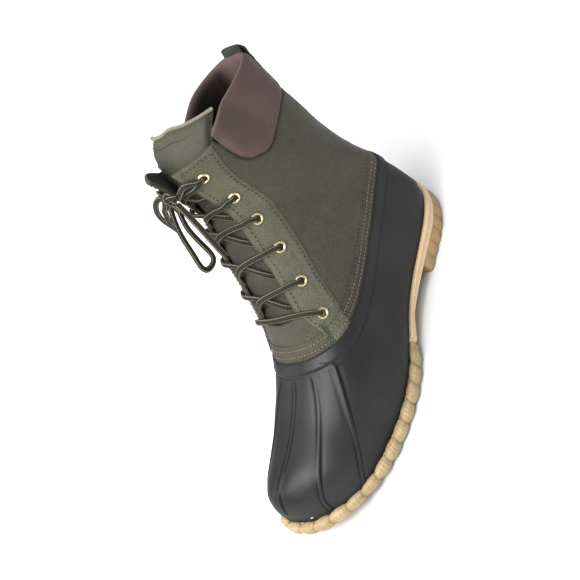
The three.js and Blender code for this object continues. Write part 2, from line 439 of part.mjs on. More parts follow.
// ------------------------------------------------------------------ pull loop
{
  // webbing up the back line, over the collar and down inside
  const path = [];
  for (const t of [21.95, 22.2, 22.5, 22.8]) path.push(addS(form(t, 1), formNormal(t, 1), 2.6 + (t - 21.95) * 0.6));
  const top = form(LAST, 1);
  path.push([0, top[1] + 3.6, top[2] + 2], [0, top[1] + 2.2, top[2] + 6.2], [0, top[1] - 1.2, top[2] + 7.6], [0, top[1] - 4.6, top[2] + 5.2]);
  const T = LOOP_THICKNESS / 2, H = LOOP_WIDTH / 2;
  const rings = path.map((p, i) => {
    const d = unit(sub(path[Math.min(i + 1, path.length - 1)], path[Math.max(i - 1, 0)])), n = [0, d[2], -d[1]];
    const q = (x, k) => [p[0] + x, p[1] + n[1] * k - (Math.abs(x) > 1 ? x * x * 0.008 : 0), p[2] + n[2] * k];
    return [q(-H, -T), q(-H / 2, -T), q(0, -T), q(H / 2, -T), q(H, -T), q(H, T), q(H / 2, T), q(0, T), q(-H / 2, T), q(-H, T)];
  });
  put('pull_loop', loft(rings), 0x3c3d30, 0.85);
}
if (SOLE_LENGTH !== OUTLINE[OUTLINE.length - 1][0] - OUTLINE[0][0]) throw new Error('outline length');
group.updateMatrixWorld(true);
export default group;
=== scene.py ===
import math
import bpy
import numpy as np
from mathutils import Matrix, Vector


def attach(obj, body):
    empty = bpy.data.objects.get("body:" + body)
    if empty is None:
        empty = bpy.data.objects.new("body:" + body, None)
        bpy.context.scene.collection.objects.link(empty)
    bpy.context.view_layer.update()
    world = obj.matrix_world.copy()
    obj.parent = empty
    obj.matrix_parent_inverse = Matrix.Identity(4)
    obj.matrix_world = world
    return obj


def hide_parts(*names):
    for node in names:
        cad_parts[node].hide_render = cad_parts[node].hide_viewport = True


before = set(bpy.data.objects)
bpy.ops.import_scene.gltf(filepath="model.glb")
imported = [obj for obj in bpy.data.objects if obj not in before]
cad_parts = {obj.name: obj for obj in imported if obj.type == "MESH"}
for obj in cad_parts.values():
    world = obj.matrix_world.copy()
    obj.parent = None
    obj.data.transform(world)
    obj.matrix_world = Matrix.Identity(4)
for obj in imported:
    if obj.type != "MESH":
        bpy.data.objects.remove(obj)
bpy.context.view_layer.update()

# ------------------------------------------------------------------ the form
# Millimetres, toe toward -Y, lateral side +X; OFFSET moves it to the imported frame.
OFFSET = np.array([1.35, 3.15, 0.0])
# yr zr ye ze xel xem wl wm nf rf rb, as in the part's source
SECTIONS = np.array([
    (-143.5, 32.0, -143.5, 22.0, -13.0, -13.0, 0.0, 0.0, 2.00, 1.00, 40),
    (-142.0, 41.0, -142.0, 21.5, 0.5, -25.0, 13.0, 12.4, 2.00, 1.00, 40),
    (-137.0, 49.0, -137.0, 20.0, 11.5, -33.5, 22.4, 22.2, 2.10, 1.00, 40),
    (-130.0, 54.3, -130.0, 17.8, 19.8, -38.8, 29.4, 30.5, 2.20, 1.00, 40),
    (-118.0, 58.0, -118.0, 14.8, 30.5, -43.5, 37.8, 37.2, 2.30, 1.00, 40),
    (-102.0, 60.5, -102.0, 12.1, 38.7, -46.2, 43.5, 41.8, 2.35, 1.00, 40),
    (-82.0, 65.0, -82.0, 10.0, 43.8, -47.2, 47.0, 43.8, 2.40, 1.00, 40),
    (-62.0, 73.5, -60.0, 9.2, 47.8, -46.2, 50.2, 46.5, 2.40, 1.00, 40),
    (-45.0, 82.5, -37.0, 9.4, 49.5, -43.2, 51.6, 48.3, 2.40, 1.00, 40),
    (-29.0, 95.5, -12.0, 11.2, 47.6, -39.5, 50.0, 48.8, 2.35, 0.95, 42),
    (-14.0, 117.0, 15.0, 14.0, 41.2, -36.0, 45.3, 46.8, 2.25, 0.85, 44),
    (0.0, 142.0, 44.0, 17.0, 37.2, -34.0, 41.5, 45.0, 2.20, 0.72, 46),
    (12.0, 166.0, 74.0, 19.0, 36.2, -33.8, 39.3, 43.3, 2.20, 0.60, 46),
    (20.0, 179.0, 102.0, 20.0, 35.6, -34.2, 38.2, 41.8, 2.15, 0.53, 44),
    (24.0, 186.3, 124.0, 21.0, 31.0, -30.2, 37.5, 40.5, 2.10, 0.49, 42),
    (25.8, 190.0, 137.0, 22.0, 20.0, -20.0, 37.3, 39.8, 2.05, 0.47, 40),
    (26.6, 195.0, 142.0, 23.0, 0.0, 0.0, 37.2, 39.2, 2.00, 0.45, 38),
    (27.0, 202.0, 142.4, 45.0, 0.0, 0.0, 37.4, 39.0, 2.00, 0.45, 38),
    (27.0, 209.0, 140.5, 70.0, 0.0, 0.0, 37.8, 38.8, 2.00, 0.46, 40),
    (27.0, 216.0, 136.2, 94.0, 0.0, 0.0, 38.3, 38.7, 2.00, 0.48, 44),
    (26.7, 222.3, 134.5, 120.0, 0.0, 0.0, 39.7, 39.2, 2.00, 0.50, 48),
    (26.0, 228.6, 137.7, 150.0, 0.0, 0.0, 41.7, 40.5, 2.00, 0.50, 50),
    (25.0, 234.4, 144.0, 180.5, 0.0, 0.0, 43.8, 42.2, 2.00, 0.50, 52),
    (24.0, 240.0, 151.8, 211.5, 0.0, 0.0, 45.5, 43.5, 2.00, 0.50, 52),
])
CLOSED, LAST = 16, 23
OUTLINE = np.array([
    [-150, -10, -14], [-149.3, -3.0, -21.0], [-147.5, 4.5, -27.8], [-144, 11.5, -34.3], [-139, 18.5, -39.8],
    [-132, 26.0, -44.6], [-120, 34.8, -49.2], [-105, 42.6, -52.2], [-88, 49.0, -53.8], [-70, 53.3, -53.8],
    [-52, 55.9, -52.2], [-38, 56.5, -49.8], [-22, 54.8, -46.4], [-5, 50.4, -43.2], [15, 44.2, -40.0],
    [35, 41.0, -38.2], [60, 39.6, -37.2], [85, 39.5, -37.8], [105, 38.8, -37.8], [122, 34.6, -34.4],
    [134, 28.0, -28.4], [142, 21.0, -21.6], [147, 13.6, -14.2], [149.4, 6.0, -6.6], [150, 1.6, -2.2]])
UNDER = np.array([[-150, 13], [-140, 11], [-130, 8.7], [-120, 6.4], [-110, 4.4], [-92, 1.6], [-76, 0], [-10, 0], [5, 5], [20, 9.5], [32, 11.7], [150, 12]])
SEAT = np.array([[-150, 22.4], [-143.5, 21.7], [-137, 19.7], [-130, 17.5], [-118, 14.5], [-102, 11.8], [-82, 9.7], [-60, 8.9], [-37, 9.1], [-12, 10.9], [15, 13.7], [44, 16.7], [74, 18.7], [102, 19.6], [124, 20.3], [137, 20.9], [150, 21.6]])
SEAM = np.array([[-60, 88], [-48, 84.5], [-41, 82], [-32, 79], [-26, 77], [-15, 74.3], [0, 71.5], [15, 70], [35, 70.2], [56, 71.8], [85, 74.6], [108, 78], [126, 81.5], [142, 84], [160, 85]])
FACING = np.array([[9.45, 0.0], [9.5, 0.06], [9.65, 0.115], [9.9, 0.142], [10.4, 0.15], [11, 0.152], [11.8, 0.138], [13.6, 0.112], [16, 0.095], [18, 0.088], [20, 0.09], [22.7, 0.098]])
PAD_EDGE = np.array([[0.262, 22.62], [0.268, 22.3], [0.278, 21.6], [0.292, 20.95], [0.31, 20.6], [0.34, 20.42], [0.39, 20.42], [0.44, 20.6], [0.52, 21.05], [0.6, 21.42], [0.7, 21.7], [0.82, 21.83], [0.92, 21.86], [1, 21.86]])
EYELETS = np.array([[20.6, 0.186], [17.0, 0.186], [13.4, 0.203], [11.9, 0.245], [10.85, 0.266], [9.88, 0.29]])
TONGUE_FREE = np.array([[196, 31.5, 23], [206, 33.8, 23.5], [216, 38.5, 24], [226, 46, 24.5], [235, 55, 25], [243, 65, 25]])
# rear seam of the eyestay: section number, side position
EYESTAY = np.array([[9.3, 0.425], [9.9, 0.405], [10.41, 0.385], [10.94, 0.36], [11.65, 0.342], [12.78, 0.31], [14.1, 0.284], [17.3, 0.276], [20.4, 0.290], [22.7, 0.31]])


def moments(y):
    n = len(y); a = np.zeros((n, n)); b = np.zeros((n,) + y.shape[1:]); a[0, 0] = a[-1, -1] = 1
    for i in range(1, n - 1):
        a[i, i - 1] = 1; a[i, i] = 4; a[i, i + 1] = 1; b[i] = 6 * (y[i + 1] - 2 * y[i] + y[i - 1])
    return np.linalg.solve(a, b.reshape(n, -1)).reshape(y.shape)


def spline(rows, mom, t):
    """natural cubic spline through rows at whole numbers of t"""
    n = len(rows) - 1
    t = np.clip(t, 0, n); i = np.minimum(t.astype(int), n - 1); u = (t - i).reshape(t.shape + (1,) * (rows.ndim - 1))
    return rows[i] * (1 - u) + rows[i + 1] * u + ((1 - u) ** 3 - (1 - u)) * mom[i] / 6 + (u ** 3 - u) * mom[i + 1] / 6


MOM = moments(SECTIONS)


def smooth(tab, v, k=1):
    """monotone cubic through a table's rows"""
    x, y = tab[:, 0], tab[:, k]
    d = np.diff(y) / np.diff(x)
    m = np.concatenate([[d[0]], np.where(d[1:] * d[:-1] <= 0, 0, 2 * d[1:] * d[:-1] / np.where(d[1:] + d[:-1] == 0, 1, d[1:] + d[:-1])), [d[-1]]])
    v = np.clip(np.asarray(v, float), x[0], x[-1])
    i = np.clip(np.searchsorted(x, v, side="right"), 1, len(x) - 1)
    h = x[i] - x[i - 1]; u = (v - x[i - 1]) / h
    return y[i - 1] * (2 * u ** 3 - 3 * u ** 2 + 1) + h * m[i - 1] * (u ** 3 - 2 * u ** 2 + u) + y[i] * (3 * u ** 2 - 2 * u ** 3) + h * m[i] * (u ** 3 - u ** 2)


def form(t, s):
    t, s = np.broadcast_arrays(np.asarray(t, float), np.asarray(s, float))
    s = np.where(np.abs(s) > 1, np.where(t >= CLOSED, s - 2 * np.sign(s), np.sign(s)), s)
    yr, zr, ye, ze, xel, xem, wl, wm, nf, rf, rb = np.moveaxis(spline(SECTIONS, MOM, np.clip(t, 0, LAST)), -1, 0)
    xel = np.where(t >= CLOSED, 0, xel); xem = np.where(t >= CLOSED, 0, xem)
    a = np.sin(np.pi / 2 * np.abs(s)) ** 2; side = np.where(s < 0, -1.0, 1.0)
    xc = (xel + xem) / 2; half = (xel - xem) / 2; nb = 2.3
    w = np.maximum(np.where(side > 0, wl, wm), half + 1e-6); chord = np.hypot(ye - yr, ze - zr)
    v = np.clip(half / w, 0, 1); s0 = rb * (1 - np.maximum(1 - v ** nb, 0) ** (1 / nb))
    q = np.minimum(a / rf, 1); A = np.maximum(1 - (1 - q) ** nf, 0) ** (1 / nf)
    qb = np.minimum(((1 - a) * chord + s0) / rb, 1); B = np.maximum(1 - (1 - qb) ** nb, 0) ** (1 / nb)
    return np.stack([xc + side * w * A * B, yr + a * (ye - yr), zr + a * (ze - zr)], -1)


def unit(v):
    v = np.asarray(v, float)
    return v / np.maximum(np.linalg.norm(v, axis=-1, keepdims=True), 1e-12)


def normal(t, s):
    t, s = np.broadcast_arrays(np.asarray(t, float), np.asarray(s, float))
    e = 6e-3; t0 = np.maximum(t - e, 0); t1 = np.minimum(t + e, LAST)
    op = t < CLOSED
    s0 = np.where(op, np.maximum(s - e, -1), s - e); s1 = np.where(op, np.minimum(s + e, 1), s + e)
    return unit(np.cross(form(t, s1) - form(t, s0), form(t1, s) - form(t0, s)))


def on(t, s, off=0.0):
    return form(t, s) + normal(t, s) * np.asarray(off, float)[..., None]


def ease(p):
    p = np.clip(p, 0, 1)
    return p * p * (3 - 2 * p)


def seam_gap(t, s, dz):
    p = form(t, s)
    return p[..., 2] - smooth(SEAM, p[..., 1]) - dz


def seam_s(t, dz):
    """side position where the form crosses the shell's top edge"""
    t = np.asarray(t, float); a = np.zeros_like(t); b = np.ones_like(t)
    for _ in range(34):
        m = (a + b) / 2; up = seam_gap(t, m, dz) > 0; a = np.where(up, m, a); b = np.where(up, b, m)
    s = (a + b) / 2
    s = np.where(seam_gap(t, 0 * t, dz) < 0, 0, s)
    return np.where((t >= CLOSED) & (seam_gap(t, 0 * t + 1, dz) > 0), 1, s)


def seam_ends(dz):
    out = []
    for a, b, s in ((5.0, 11.0, 0.0), (17.0, 20.0, 1.0)):
        for _ in range(44):
            m = (a + b) / 2
            if seam_gap(m, s, dz) > 0: b = m
            else: a = m
        out.append((a + b) / 2)
    return out


def top_of(g):
    g = np.asarray(g, float)
    return np.where(g <= PAD_EDGE[0, 0], 22.62, smooth(PAD_EDGE, g))


def place(t, g):
    f = smooth(FACING, t)
    return f + (1 - f) * g


def spread_rows(a, b, step, s_list=(0.0, 0.5, 1.0), extra=()):
    """section numbers from a to b so that neighbouring rows lie about step(t) mm apart"""
    tt = np.linspace(a, b, 900)
    gap = np.max([np.linalg.norm(np.diff(form(tt, 0 * tt + s), axis=0), axis=1) for s in s_list], axis=0)
    dens = gap / np.array([step(x) for x in (tt[1:] + tt[:-1]) / 2])
    cum = np.concatenate([[0], np.cumsum(dens)]); n = max(2, int(math.ceil(cum[-1])))
    t = np.interp(np.linspace(0, cum[-1], n + 1), cum, tt)
    for e in extra:
        if a < e < b: t = np.append(t, e)
    t = np.unique(t); keep = np.concatenate([[True], np.diff(t) > 2e-3]); t = t[keep]; t[0], t[-1] = a, b
    return t


def curve_on(rows, n, kind="spline"):
    """n points (t, s) along a short table of (t, s)"""
    rows = np.array(rows, float); m = moments(rows)
    v = np.linspace(0, len(rows) - 1, 600); q = spline(rows, m, v)
    p = form(q[:, 0], q[:, 1]); d = np.concatenate([[0], np.cumsum(np.linalg.norm(np.diff(p, axis=0), axis=1))])
    at = np.linspace(0, d[-1], n)
    return np.stack([np.interp(at, d, q[:, 0]), np.interp(at, d, q[:, 1])], 1), d[-1]


def nearest(points, line):
    """distance of each point to a dense line, and how far along it that is (0 to 1)"""
    P = points.reshape(-1, 3); best = np.full(len(P), 1e9); at = np.zeros(len(P))
    for i in range(0, len(P), 20000):
        d = ((P[i:i + 20000, None, :] - line[None]) ** 2).sum(-1)
        j = d.argmin(1); best[i:i + 20000] = np.sqrt(d[np.arange(len(j)), j]); at[i:i + 20000] = j / (len(line) - 1)
    return best.reshape(points.shape[:-1]), at.reshape(points.shape[:-1])


# ------------------------------------------------------------------ mesh code
PIECES = {}


def settle(P):
    """the padded shaft is pressed flat near its top: both walls lean toward the middle, the inner one also sinks at its front"""
    P = np.array(P, float); x, y, z = P[:, 0], P[:, 1], P[:, 2]
    top = 240 - 0.225 * (np.clip(y, 24, 150) - 24); w = ease((z - (top - 66)) / 62)
    kl = 0.40 * w * ease((y - 52) / 46); km = 0.44 * w * ease((y - 56) / 34)
    sink = 12.0 * w * ease((120 - y) / 55) * ease((y - 40) / 14) * ease((-x - 4) / 14)
    P[:, 0] = x * (1 - np.where(x > 0, kl, km)); P[:, 2] = z - sink
    return P


SOFT = ("leather_upper", "padded_collar", "stitches_dark", "eyestay_medial", "thread_knot")


def make(name, points, faces, mats, face_mat=None, attrs=None, uv=None, sharp=42, nodes=(), flat=False):
    """points in mm of the tables' frame"""
    me = bpy.data.meshes.new(name)
    if name in SOFT: points = settle(points)
    me.from_pydata(((np.asarray(points, float) - OFFSET) * 1e-3).tolist(), [], [list(map(int, f)) for f in faces])
    for m in mats: me.materials.append(m)
    if face_mat is not None: me.polygons.foreach_set("material_index", np.asarray(face_mat, np.int32))
    me.polygons.foreach_set("use_smooth", np.full(len(me.polygons), not flat))
    for k, v in (attrs or {}).items():
        a = me.attributes.new(k, "FLOAT", "POINT"); a.data.foreach_set("value", np.asarray(v, np.float32).ravel())
    if uv is not None:
        layer = me.uv_layers.new(name="UVMap"); idx = np.zeros(len(me.loops), np.int32); me.loops.foreach_get("vertex_index", idx)
        layer.data.foreach_set("uv", np.asarray(uv, np.float32)[idx].ravel())
    me.update(); me.validate()
    if sharp: me.set_sharp_from_angle(angle=math.radians(sharp))
    o = bpy.data.objects.new(name, me); bpy.context.scene.collection.objects.link(o)
    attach(o, "root")
    if nodes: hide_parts(*nodes)
    PIECES[name] = o
    return o


def weld(grids):
    """grids of points (r, c, 3), each with attribute arrays -> merged points, quads and the attributes"""
    pts, quads, base, att = [], [], 0, {}
    for g in grids:
        P = g["p"]; r, c = P.shape[:2]; pts.append(P.reshape(-1, 3))
        for k, v in g.items():
            if k != "p": att.setdefault(k, []).append(np.asarray(v).reshape(r * c, -1))
        i = np.arange((r - 1) * (c - 1)); a = base + (i // (c - 1)) * c + i % (c - 1)
        quads.append(np.stack([a, a + 1, a + c + 1, a + c], 1)); base += r * c
    pts = np.concatenate(pts); quads = np.concatenate(quads); att = {k: np.concatenate(v) for k, v in att.items()}
    _, first, inv = np.unique(np.round(pts * 400).astype(np.int64), axis=0, return_index=True, return_inverse=True)
    inv = inv.reshape(-1)
    return pts[first], [list(dict.fromkeys(q)) for q in inv[quads].tolist()], {k: v[first] for k, v in att.items()}


def wall(grids, drop=None, bulge=0.3):
    """grids carry p (on the surface), n, out, inn (offsets) and other per-point values. Returns a closed wall."""
    P, faces, att = weld(grids)
    faces = [f for f in faces if len(f) >= 3]
    if drop is not None:
        bad = drop(P); faces = [f for f in faces if not all(bad[i] for i in f)]
    used = np.unique(np.concatenate([np.array(f) for f in faces])); new = -np.ones(len(P), int); new[used] = np.arange(len(used))
    P = P[used]; faces = [[int(new[i]) for i in f] for f in faces]; att = {k: v[used] for k, v in att.items()}
    N = unit(att.pop("n")); o = att.pop("out"); i_ = att.pop("inn")
    A, B = P + N * o, P - N * i_; n = len(P)
    edges = set((f[k], f[(k + 1) % len(f)]) for f in faces for k in range(len(f)))
    rim = [e for e in edges if (e[1], e[0]) not in edges]
    mid_of, mids, acc = {}, [], {}
    for a, b in rim:
        d = np.cross(A[b] - A[a], N[a]); l = np.linalg.norm(d)
        if l > 1e-9:
            for q in (a, b): acc[q] = acc.get(q, 0) + d / l
    for q, d in acc.items():
        w = np.linalg.norm(A[q] - B[q]); mid_of[q] = 2 * n + len(mids); mids.append((A[q] + B[q]) / 2 + unit(d) * w * bulge)
    out = list(faces) + [[i + n for i in reversed(f)] for f in faces]
    kind = [0] * len(faces) + [1] * len(faces)
    for a, b in rim:
        if a in mid_of and b in mid_of:
            out += [[b, a, mid_of[a], mid_of[b]], [mid_of[b], mid_of[a], a + n, b + n]]; kind += [2, 2]
    pts = np.concatenate([A, B, np.array(mids).reshape(-1, 3)])
    own = list(mid_of)
    att = {k: np.concatenate([v, v, v[own]]) for k, v in att.items()}
    return pts, out, kind, att


def tube(path, a, b=None, up=None, sides=10, taper=None, close=False):
    """tube along points (n, 3): half width a, half height b; up gives the direction of b. Returns points, quads, uv."""
    path = np.asarray(path, float); n = len(path); b = a if b is None else b
    d = unit(np.gradient(path, axis=0))
    if up is None:
        u = np.zeros_like(path); ref = np.array([0, 0, 1.0]) if abs(d[0, 2]) < 0.9 else np.array([1.0, 0, 0])
        for i in range(n):
            ref = unit(ref - d[i] * ref.dot(d[i])); u[i] = ref
    else:
        u = np.broadcast_to(np.asarray(up, float), path.shape).copy(); u = unit(u - d * (u * d).sum(1, keepdims=True))
    s = unit(np.cross(d, u))
    th = 2 * np.pi * (np.arange(sides) + 0.5) / sides
    k = np.ones(n) if taper is None else np.asarray(taper, float)
    sq = 0.85                      # a little squarer than an ellipse
    cx, cy = np.sign(np.cos(th)) * np.abs(np.cos(th)) ** sq, np.sign(np.sin(th)) * np.abs(np.sin(th)) ** sq
    P = path[:, None] + (s[:, None] * (cx * a)[None, :, None] + u[:, None] * (cy * b)[None, :, None]) * k[:, None, None]
    L = np.concatenate([[0], np.cumsum(np.linalg.norm(np.diff(path, axis=0), axis=1))])
    uv = np.stack(np.broadcast_arrays(th[None, :] / (2 * np.pi), L[:, None]), -1).reshape(-1, 2)
    faces = []
    for i in range(n - 1):
        for j in range(sides):
            q = (j + 1) % sides; faces.append([i * sides + j, i * sides + q, (i + 1) * sides + q, (i + 1) * sides + j])
    faces.append(list(range(sides))[::-1]); faces.append([(n - 1) * sides + j for j in range(sides)])
    P = P.reshape(-1, 3)
    return P, faces, uv


def fair(points, n):
    """n points evenly along a natural spline through points"""
    q = np.array(points, float); m = moments(q); v = np.linspace(0, len(q) - 1, 800); p = spline(q, m, v)
    d = np.concatenate([[0], np.cumsum(np.linalg.norm(np.diff(p[:, :3], axis=0), axis=1))]); at = np.linspace(0, d[-1], n)
    return np.stack([np.interp(at, d, p[:, k]) for k in range(p.shape[1])], 1)


def merge(parts):
    P, F, U, b = [], [], [], 0
    for p in parts:
        P.append(p[0]); F += [[i + b for i in f] for f in p[1]]; b += len(p[0])
        U.append(p[2] if len(p) > 2 else np.zeros((len(p[0]), 2)))
    return np.concatenate(P), F, np.concatenate(U)


# ------------------------------------------------------------------ materials
class Graph:
    def __init__(self, name):
        self.m = bpy.data.materials.new(name); self.m.use_nodes = True; self.t = self.m.node_tree; self.t.nodes.clear()
        self.out = self.t.nodes.new("ShaderNodeOutputMaterial"); self.b = self.t.nodes.new("ShaderNodeBsdfPrincipled")
        self.t.links.new(self.b.outputs[0], self.out.inputs[0])
        c = self.t.nodes.new("ShaderNodeTexCoord"); self.uv = c.outputs["UV"]
        self.mm = self.n("ShaderNodeVectorMath", {"operation": "SCALE"}, {0: c.outputs["Object"], "Scale": 1000.0})

    def n(self, kind, props=None, ins=None, out=0):
        x = self.t.nodes.new(kind)
        for k, v in (props or {}).items(): setattr(x, k, v)
        for k, v in (ins or {}).items():
            s = x.inputs[k]
            if isinstance(v, bpy.types.NodeSocket): self.t.links.new(v, s)
            else: s.default_value = v
        return x.outputs[out]

    def math(self, op, a, b=0.0, clamp=False):
        return self.n("ShaderNodeMath", {"operation": op, "use_clamp": clamp}, {0: a, 1: b})

    def noise(self, size, detail=3.0, rough=0.55, vec=None):
        return self.n("ShaderNodeTexNoise", {}, {"Vector": vec or self.mm, "Scale": 1.0 / size, "Detail": detail, "Roughness": rough})

    def cells(self, size, feature="DISTANCE_TO_EDGE", vec=None, rnd=1.0):
        return self.n("ShaderNodeTexVoronoi", {"feature": feature}, {"Vector": vec or self.mm, "Scale": 1.0 / size, "Randomness": rnd})

    def ramp(self, v, stops):
        x = self.t.nodes.new("ShaderNodeValToRGB"); self.t.links.new(v, x.inputs[0]); e = x.color_ramp.elements
        while len(e) < len(stops): e.new(0.5)
        for i, (p, c) in enumerate(stops):
            e[i].position = p; e[i].color = (*c, 1) if not isinstance(c, float) else (c, c, c, 1)
        return x.outputs[0]

    def range(self, v, a, b, c=0.0, d=1.0):
        return self.n("ShaderNodeMapRange", {"clamp": True}, {0: v, 1: a, 2: b, 3: c, 4: d})

    def mix(self, f, a, b):
        x = self.t.nodes.new("ShaderNodeMix"); x.data_type = "RGBA"
        for k, v in ((0, f), (6, a), (7, b)):
            if isinstance(v, bpy.types.NodeSocket): self.t.links.new(v, x.inputs[k])
            else: x.inputs[k].default_value = (*v, 1) if isinstance(v, tuple) and len(v) == 3 else v
        return x.outputs[2]

    def attr(self, name):
        return self.n("ShaderNodeAttribute", {"attribute_name": name}, {}, out=2)

    def bump(self, height, dist_mm, under=None, strength=1.0):
        ins = {"Height": height, "Distance": dist_mm * 1e-3, "Strength": strength}
        if under is not None: ins["Normal"] = under
        return self.n("ShaderNodeBump", {}, ins)

    def set(self, **kw):
        for k, v in kw.items():
            s = self.b.inputs[k.replace("_", " ")]
            if isinstance(v, bpy.types.NodeSocket): self.t.links.new(v, s)
            else: s.default_value = (*v, 1) if s.type == "RGBA" and len(v) == 3 else v
        return self.m


def leather(name, base, low, high, grain=1.7, depth=0.42, rough=0.46, wear=None):
    g = Graph(name)
    big = g.noise(26, 3); mid = g.noise(5.5, 4); fine = g.noise(0.8, 2)
    warp = g.n("ShaderNodeVectorMath", {"operation": "MULTIPLY_ADD"}, {0: g.n("ShaderNodeTexNoise", {}, {"Vector": g.mm, "Scale": 0.45, "Detail": 2.0}, out=1), 1: (1.3, 1.3, 1.3), 2: g.mm})
    c1 = g.cells(grain, vec=warp); c2 = g.cells(grain * 0.55, vec=warp)
    h = g.math("ADD", g.math("MULTIPLY", g.range(c1, 0.0, 0.28), 0.65), g.math("MULTIPLY", g.range(c2, 0.0, 0.3), 0.35))
    col = g.mix(g.range(big, 0.32, 0.7), low, base)
    col = g.mix(g.range(mid, 0.45, 0.75, 0, 0.55), col, high)
    col = g.mix(g.range(h, 0.1, 0.75, 0.32, 0.0), col, tuple(x * 0.35 for x in low))
    # attribute dark darkens the colour: painted shade on the upper, collar pad and tongue; darker along the eyestays'
    # edges
    dark = g.attr("dark"); col = g.mix(dark, col, tuple(x * 0.14 for x in low))
    nb = g.bump(g.noise(7, 3), 0.5, strength=0.6); nb = g.bump(h, depth, nb); nb = g.bump(fine, 0.05, nb)
    return g.set(Base_Color=col, Roughness=g.range(g.math("ADD", mid, g.math("MULTIPLY", h, -0.35)), -0.1, 0.7, rough - 0.06, rough + 0.12), Normal=nb, Specular_IOR_Level=0.24)


def cloth(name, a, b, size=0.9, depth=0.25, rough=0.9):
    g = Graph(name)
    w1 = g.n("ShaderNodeTexWave", {"bands_direction": "X"}, {"Vector": g.mm, "Scale": 0.32 / size, "Distortion": 0.6, "Detail": 1.0}, out=1)
    w2 = g.n("ShaderNodeTexWave", {"bands_direction": "Z"}, {"Vector": g.mm, "Scale": 0.32 / size, "Distortion": 0.6, "Detail": 1.0}, out=1)
    h = g.math("MULTIPLY", w1, w2); f = g.noise(0.5, 2)
    col = g.mix(g.range(g.math("ADD", h, g.math("MULTIPLY", f, 0.5)), 0.1, 1.1), a, b)
    return g.set(Base_Color=col, Roughness=rough, Normal=g.bump(h, depth), Specular_IOR_Level=0.25, Sheen_Weight=0.04)


def rubber_black():
    g = Graph("rubber_shell")
    big = g.noise(45, 2); mid = g.noise(7, 4); fine = g.noise(0.55, 3); spk = g.noise(2.1, 4, 0.7)
    col = g.mix(g.range(big, 0.35, 0.7), (0.0150, 0.0148, 0.0144), (0.0205, 0.0207, 0.0217))
    dust = g.range(spk, 0.62, 0.78, 0.0, 0.35); col = g.mix(dust, col, (0.036, 0.035, 0.033))
    scuff = g.attr("scuff"); col = g.mix(g.math("MULTIPLY", scuff, 0.75), col, (0.16, 0.155, 0.15))
    fleck = g.attr("fleck"); col = g.mix(fleck, col, (0.62, 0.58, 0.52))
    m = g.math("ABSOLUTE", g.attr("rib1"))
    for i in range(2, 6): m = g.math("MINIMUM", m, g.math("ABSOLUTE", g.attr("rib%d" % i)))
    m = g.math("MULTIPLY", m, 0.2); w = g.attr("ribs")
    prof = g.ramp(m, [(0.0, 1.0), (0.16, 0.93), (0.27, 0.55), (0.38, 0.05), (0.50, 0.30), (0.66, 0.5), (1.0, 0.5)])
    # line: near-black lines along the grooves either side of each rib, painted shade in the grooves
    line = g.ramp(m, [(0.0, 0.0), (0.24, 0.0), (0.34, 1.0), (0.44, 1.0), (0.56, 0.0), (1.0, 0.0)])
    col = g.mix(g.math("MULTIPLY", g.math("MULTIPLY", line, w), 0.8), col, (0.002, 0.002, 0.002))
    ribbed = g.math("MULTIPLY", g.math("SUBTRACT", prof, 0.5), w)
    nb = g.bump(g.noise(14, 2), 0.5, strength=0.5); nb = g.bump(ribbed, 1.5, nb); nb = g.bump(mid, 0.05, nb); nb = g.bump(fine, 0.025, nb)
    r = g.range(g.math("ADD", mid, g.math("MULTIPLY", spk, 0.5)), 0.5, 1.1, 0.33, 0.45)
    return g.set(Base_Color=col, Roughness=r, Normal=nb, Specular_IOR_Level=0.0, Coat_Weight=0.33, Coat_Roughness=0.36)


def gum(name, base, low, high, depth=0.12, rough=0.55):
    g = Graph(name)
    big = g.noise(18, 3); mid = g.noise(3.2, 4, 0.6); fine = g.noise(0.7, 3)
    col = g.mix(g.range(big, 0.3, 0.7), low, base); col = g.mix(g.range(mid, 0.5, 0.75, 0.0, 0.7), col, high)
    # attribute dark: painted shade between the rope's lobes and in the heel's notches; zero on the outsole
    recess_shade = g.attr("dark"); col = g.mix(recess_shade, col, (0.10, 0.052, 0.02))
    nb = g.bump(mid, depth, strength=0.8); nb = g.bump(fine, 0.05, nb)
    return g.set(Base_Color=col, Roughness=g.range(mid, 0.3, 0.8, rough - 0.06, rough + 0.1), Normal=nb, Specular_IOR_Level=0.4, Subsurface_Weight=0.08, Subsurface_Radius=(0.004, 0.002, 0.001), Subsurface_Scale=0.5)


def braid(name, base, low, fleck):
    g = Graph(name)
    sx = g.n("ShaderNodeSeparateXYZ", {}, {0: g.uv}); sy = g.n("ShaderNodeSeparateXYZ", {}, {0: g.uv}, out=1)
    saw = g.math("PINGPONG", g.math("MULTIPLY", sx, 12.0), 1.0)
    lay = g.math("PINGPONG", g.math("ADD", g.math("MULTIPLY", sy, 0.95), saw), 1.0)
    h = g.math("MULTIPLY", g.range(lay, 0.05, 0.6), g.range(saw, 0.02, 0.35))
    stripe = g.math("PINGPONG", g.math("ADD", g.math("MULTIPLY", sx, 2.0), 0.5), 0.5)
    edge = g.range(g.math("ABSOLUTE", g.math("SUBTRACT", stripe, 0.25)), 0.02, 0.085, 1.0, 0.0)
    dots = g.range(g.math("PINGPONG", g.math("MULTIPLY", sy, 0.8), 1.0), 0.1, 0.6, 0.55, 1.0)
    col = g.mix(g.range(h, 0.1, 0.9), low, base)
    col = g.mix(g.math("MULTIPLY", g.math("MULTIPLY", edge, dots), 0.8), col, fleck)
    return g.set(Base_Color=col, Roughness=0.8, Normal=g.bump(h, 0.22), Specular_IOR_Level=0.3)


def metal():
    g = Graph("eyelet_brass")
    n = g.noise(1.6, 3); f = g.noise(0.4, 2)
    col = g.mix(g.range(n, 0.4, 0.75), (0.78, 0.66, 0.40), (0.60, 0.47, 0.24))
    return g.set(Base_Color=col, Metallic=1.0, Roughness=g.range(n, 0.3, 0.8, 0.2, 0.38), Normal=g.bump(f, 0.02))


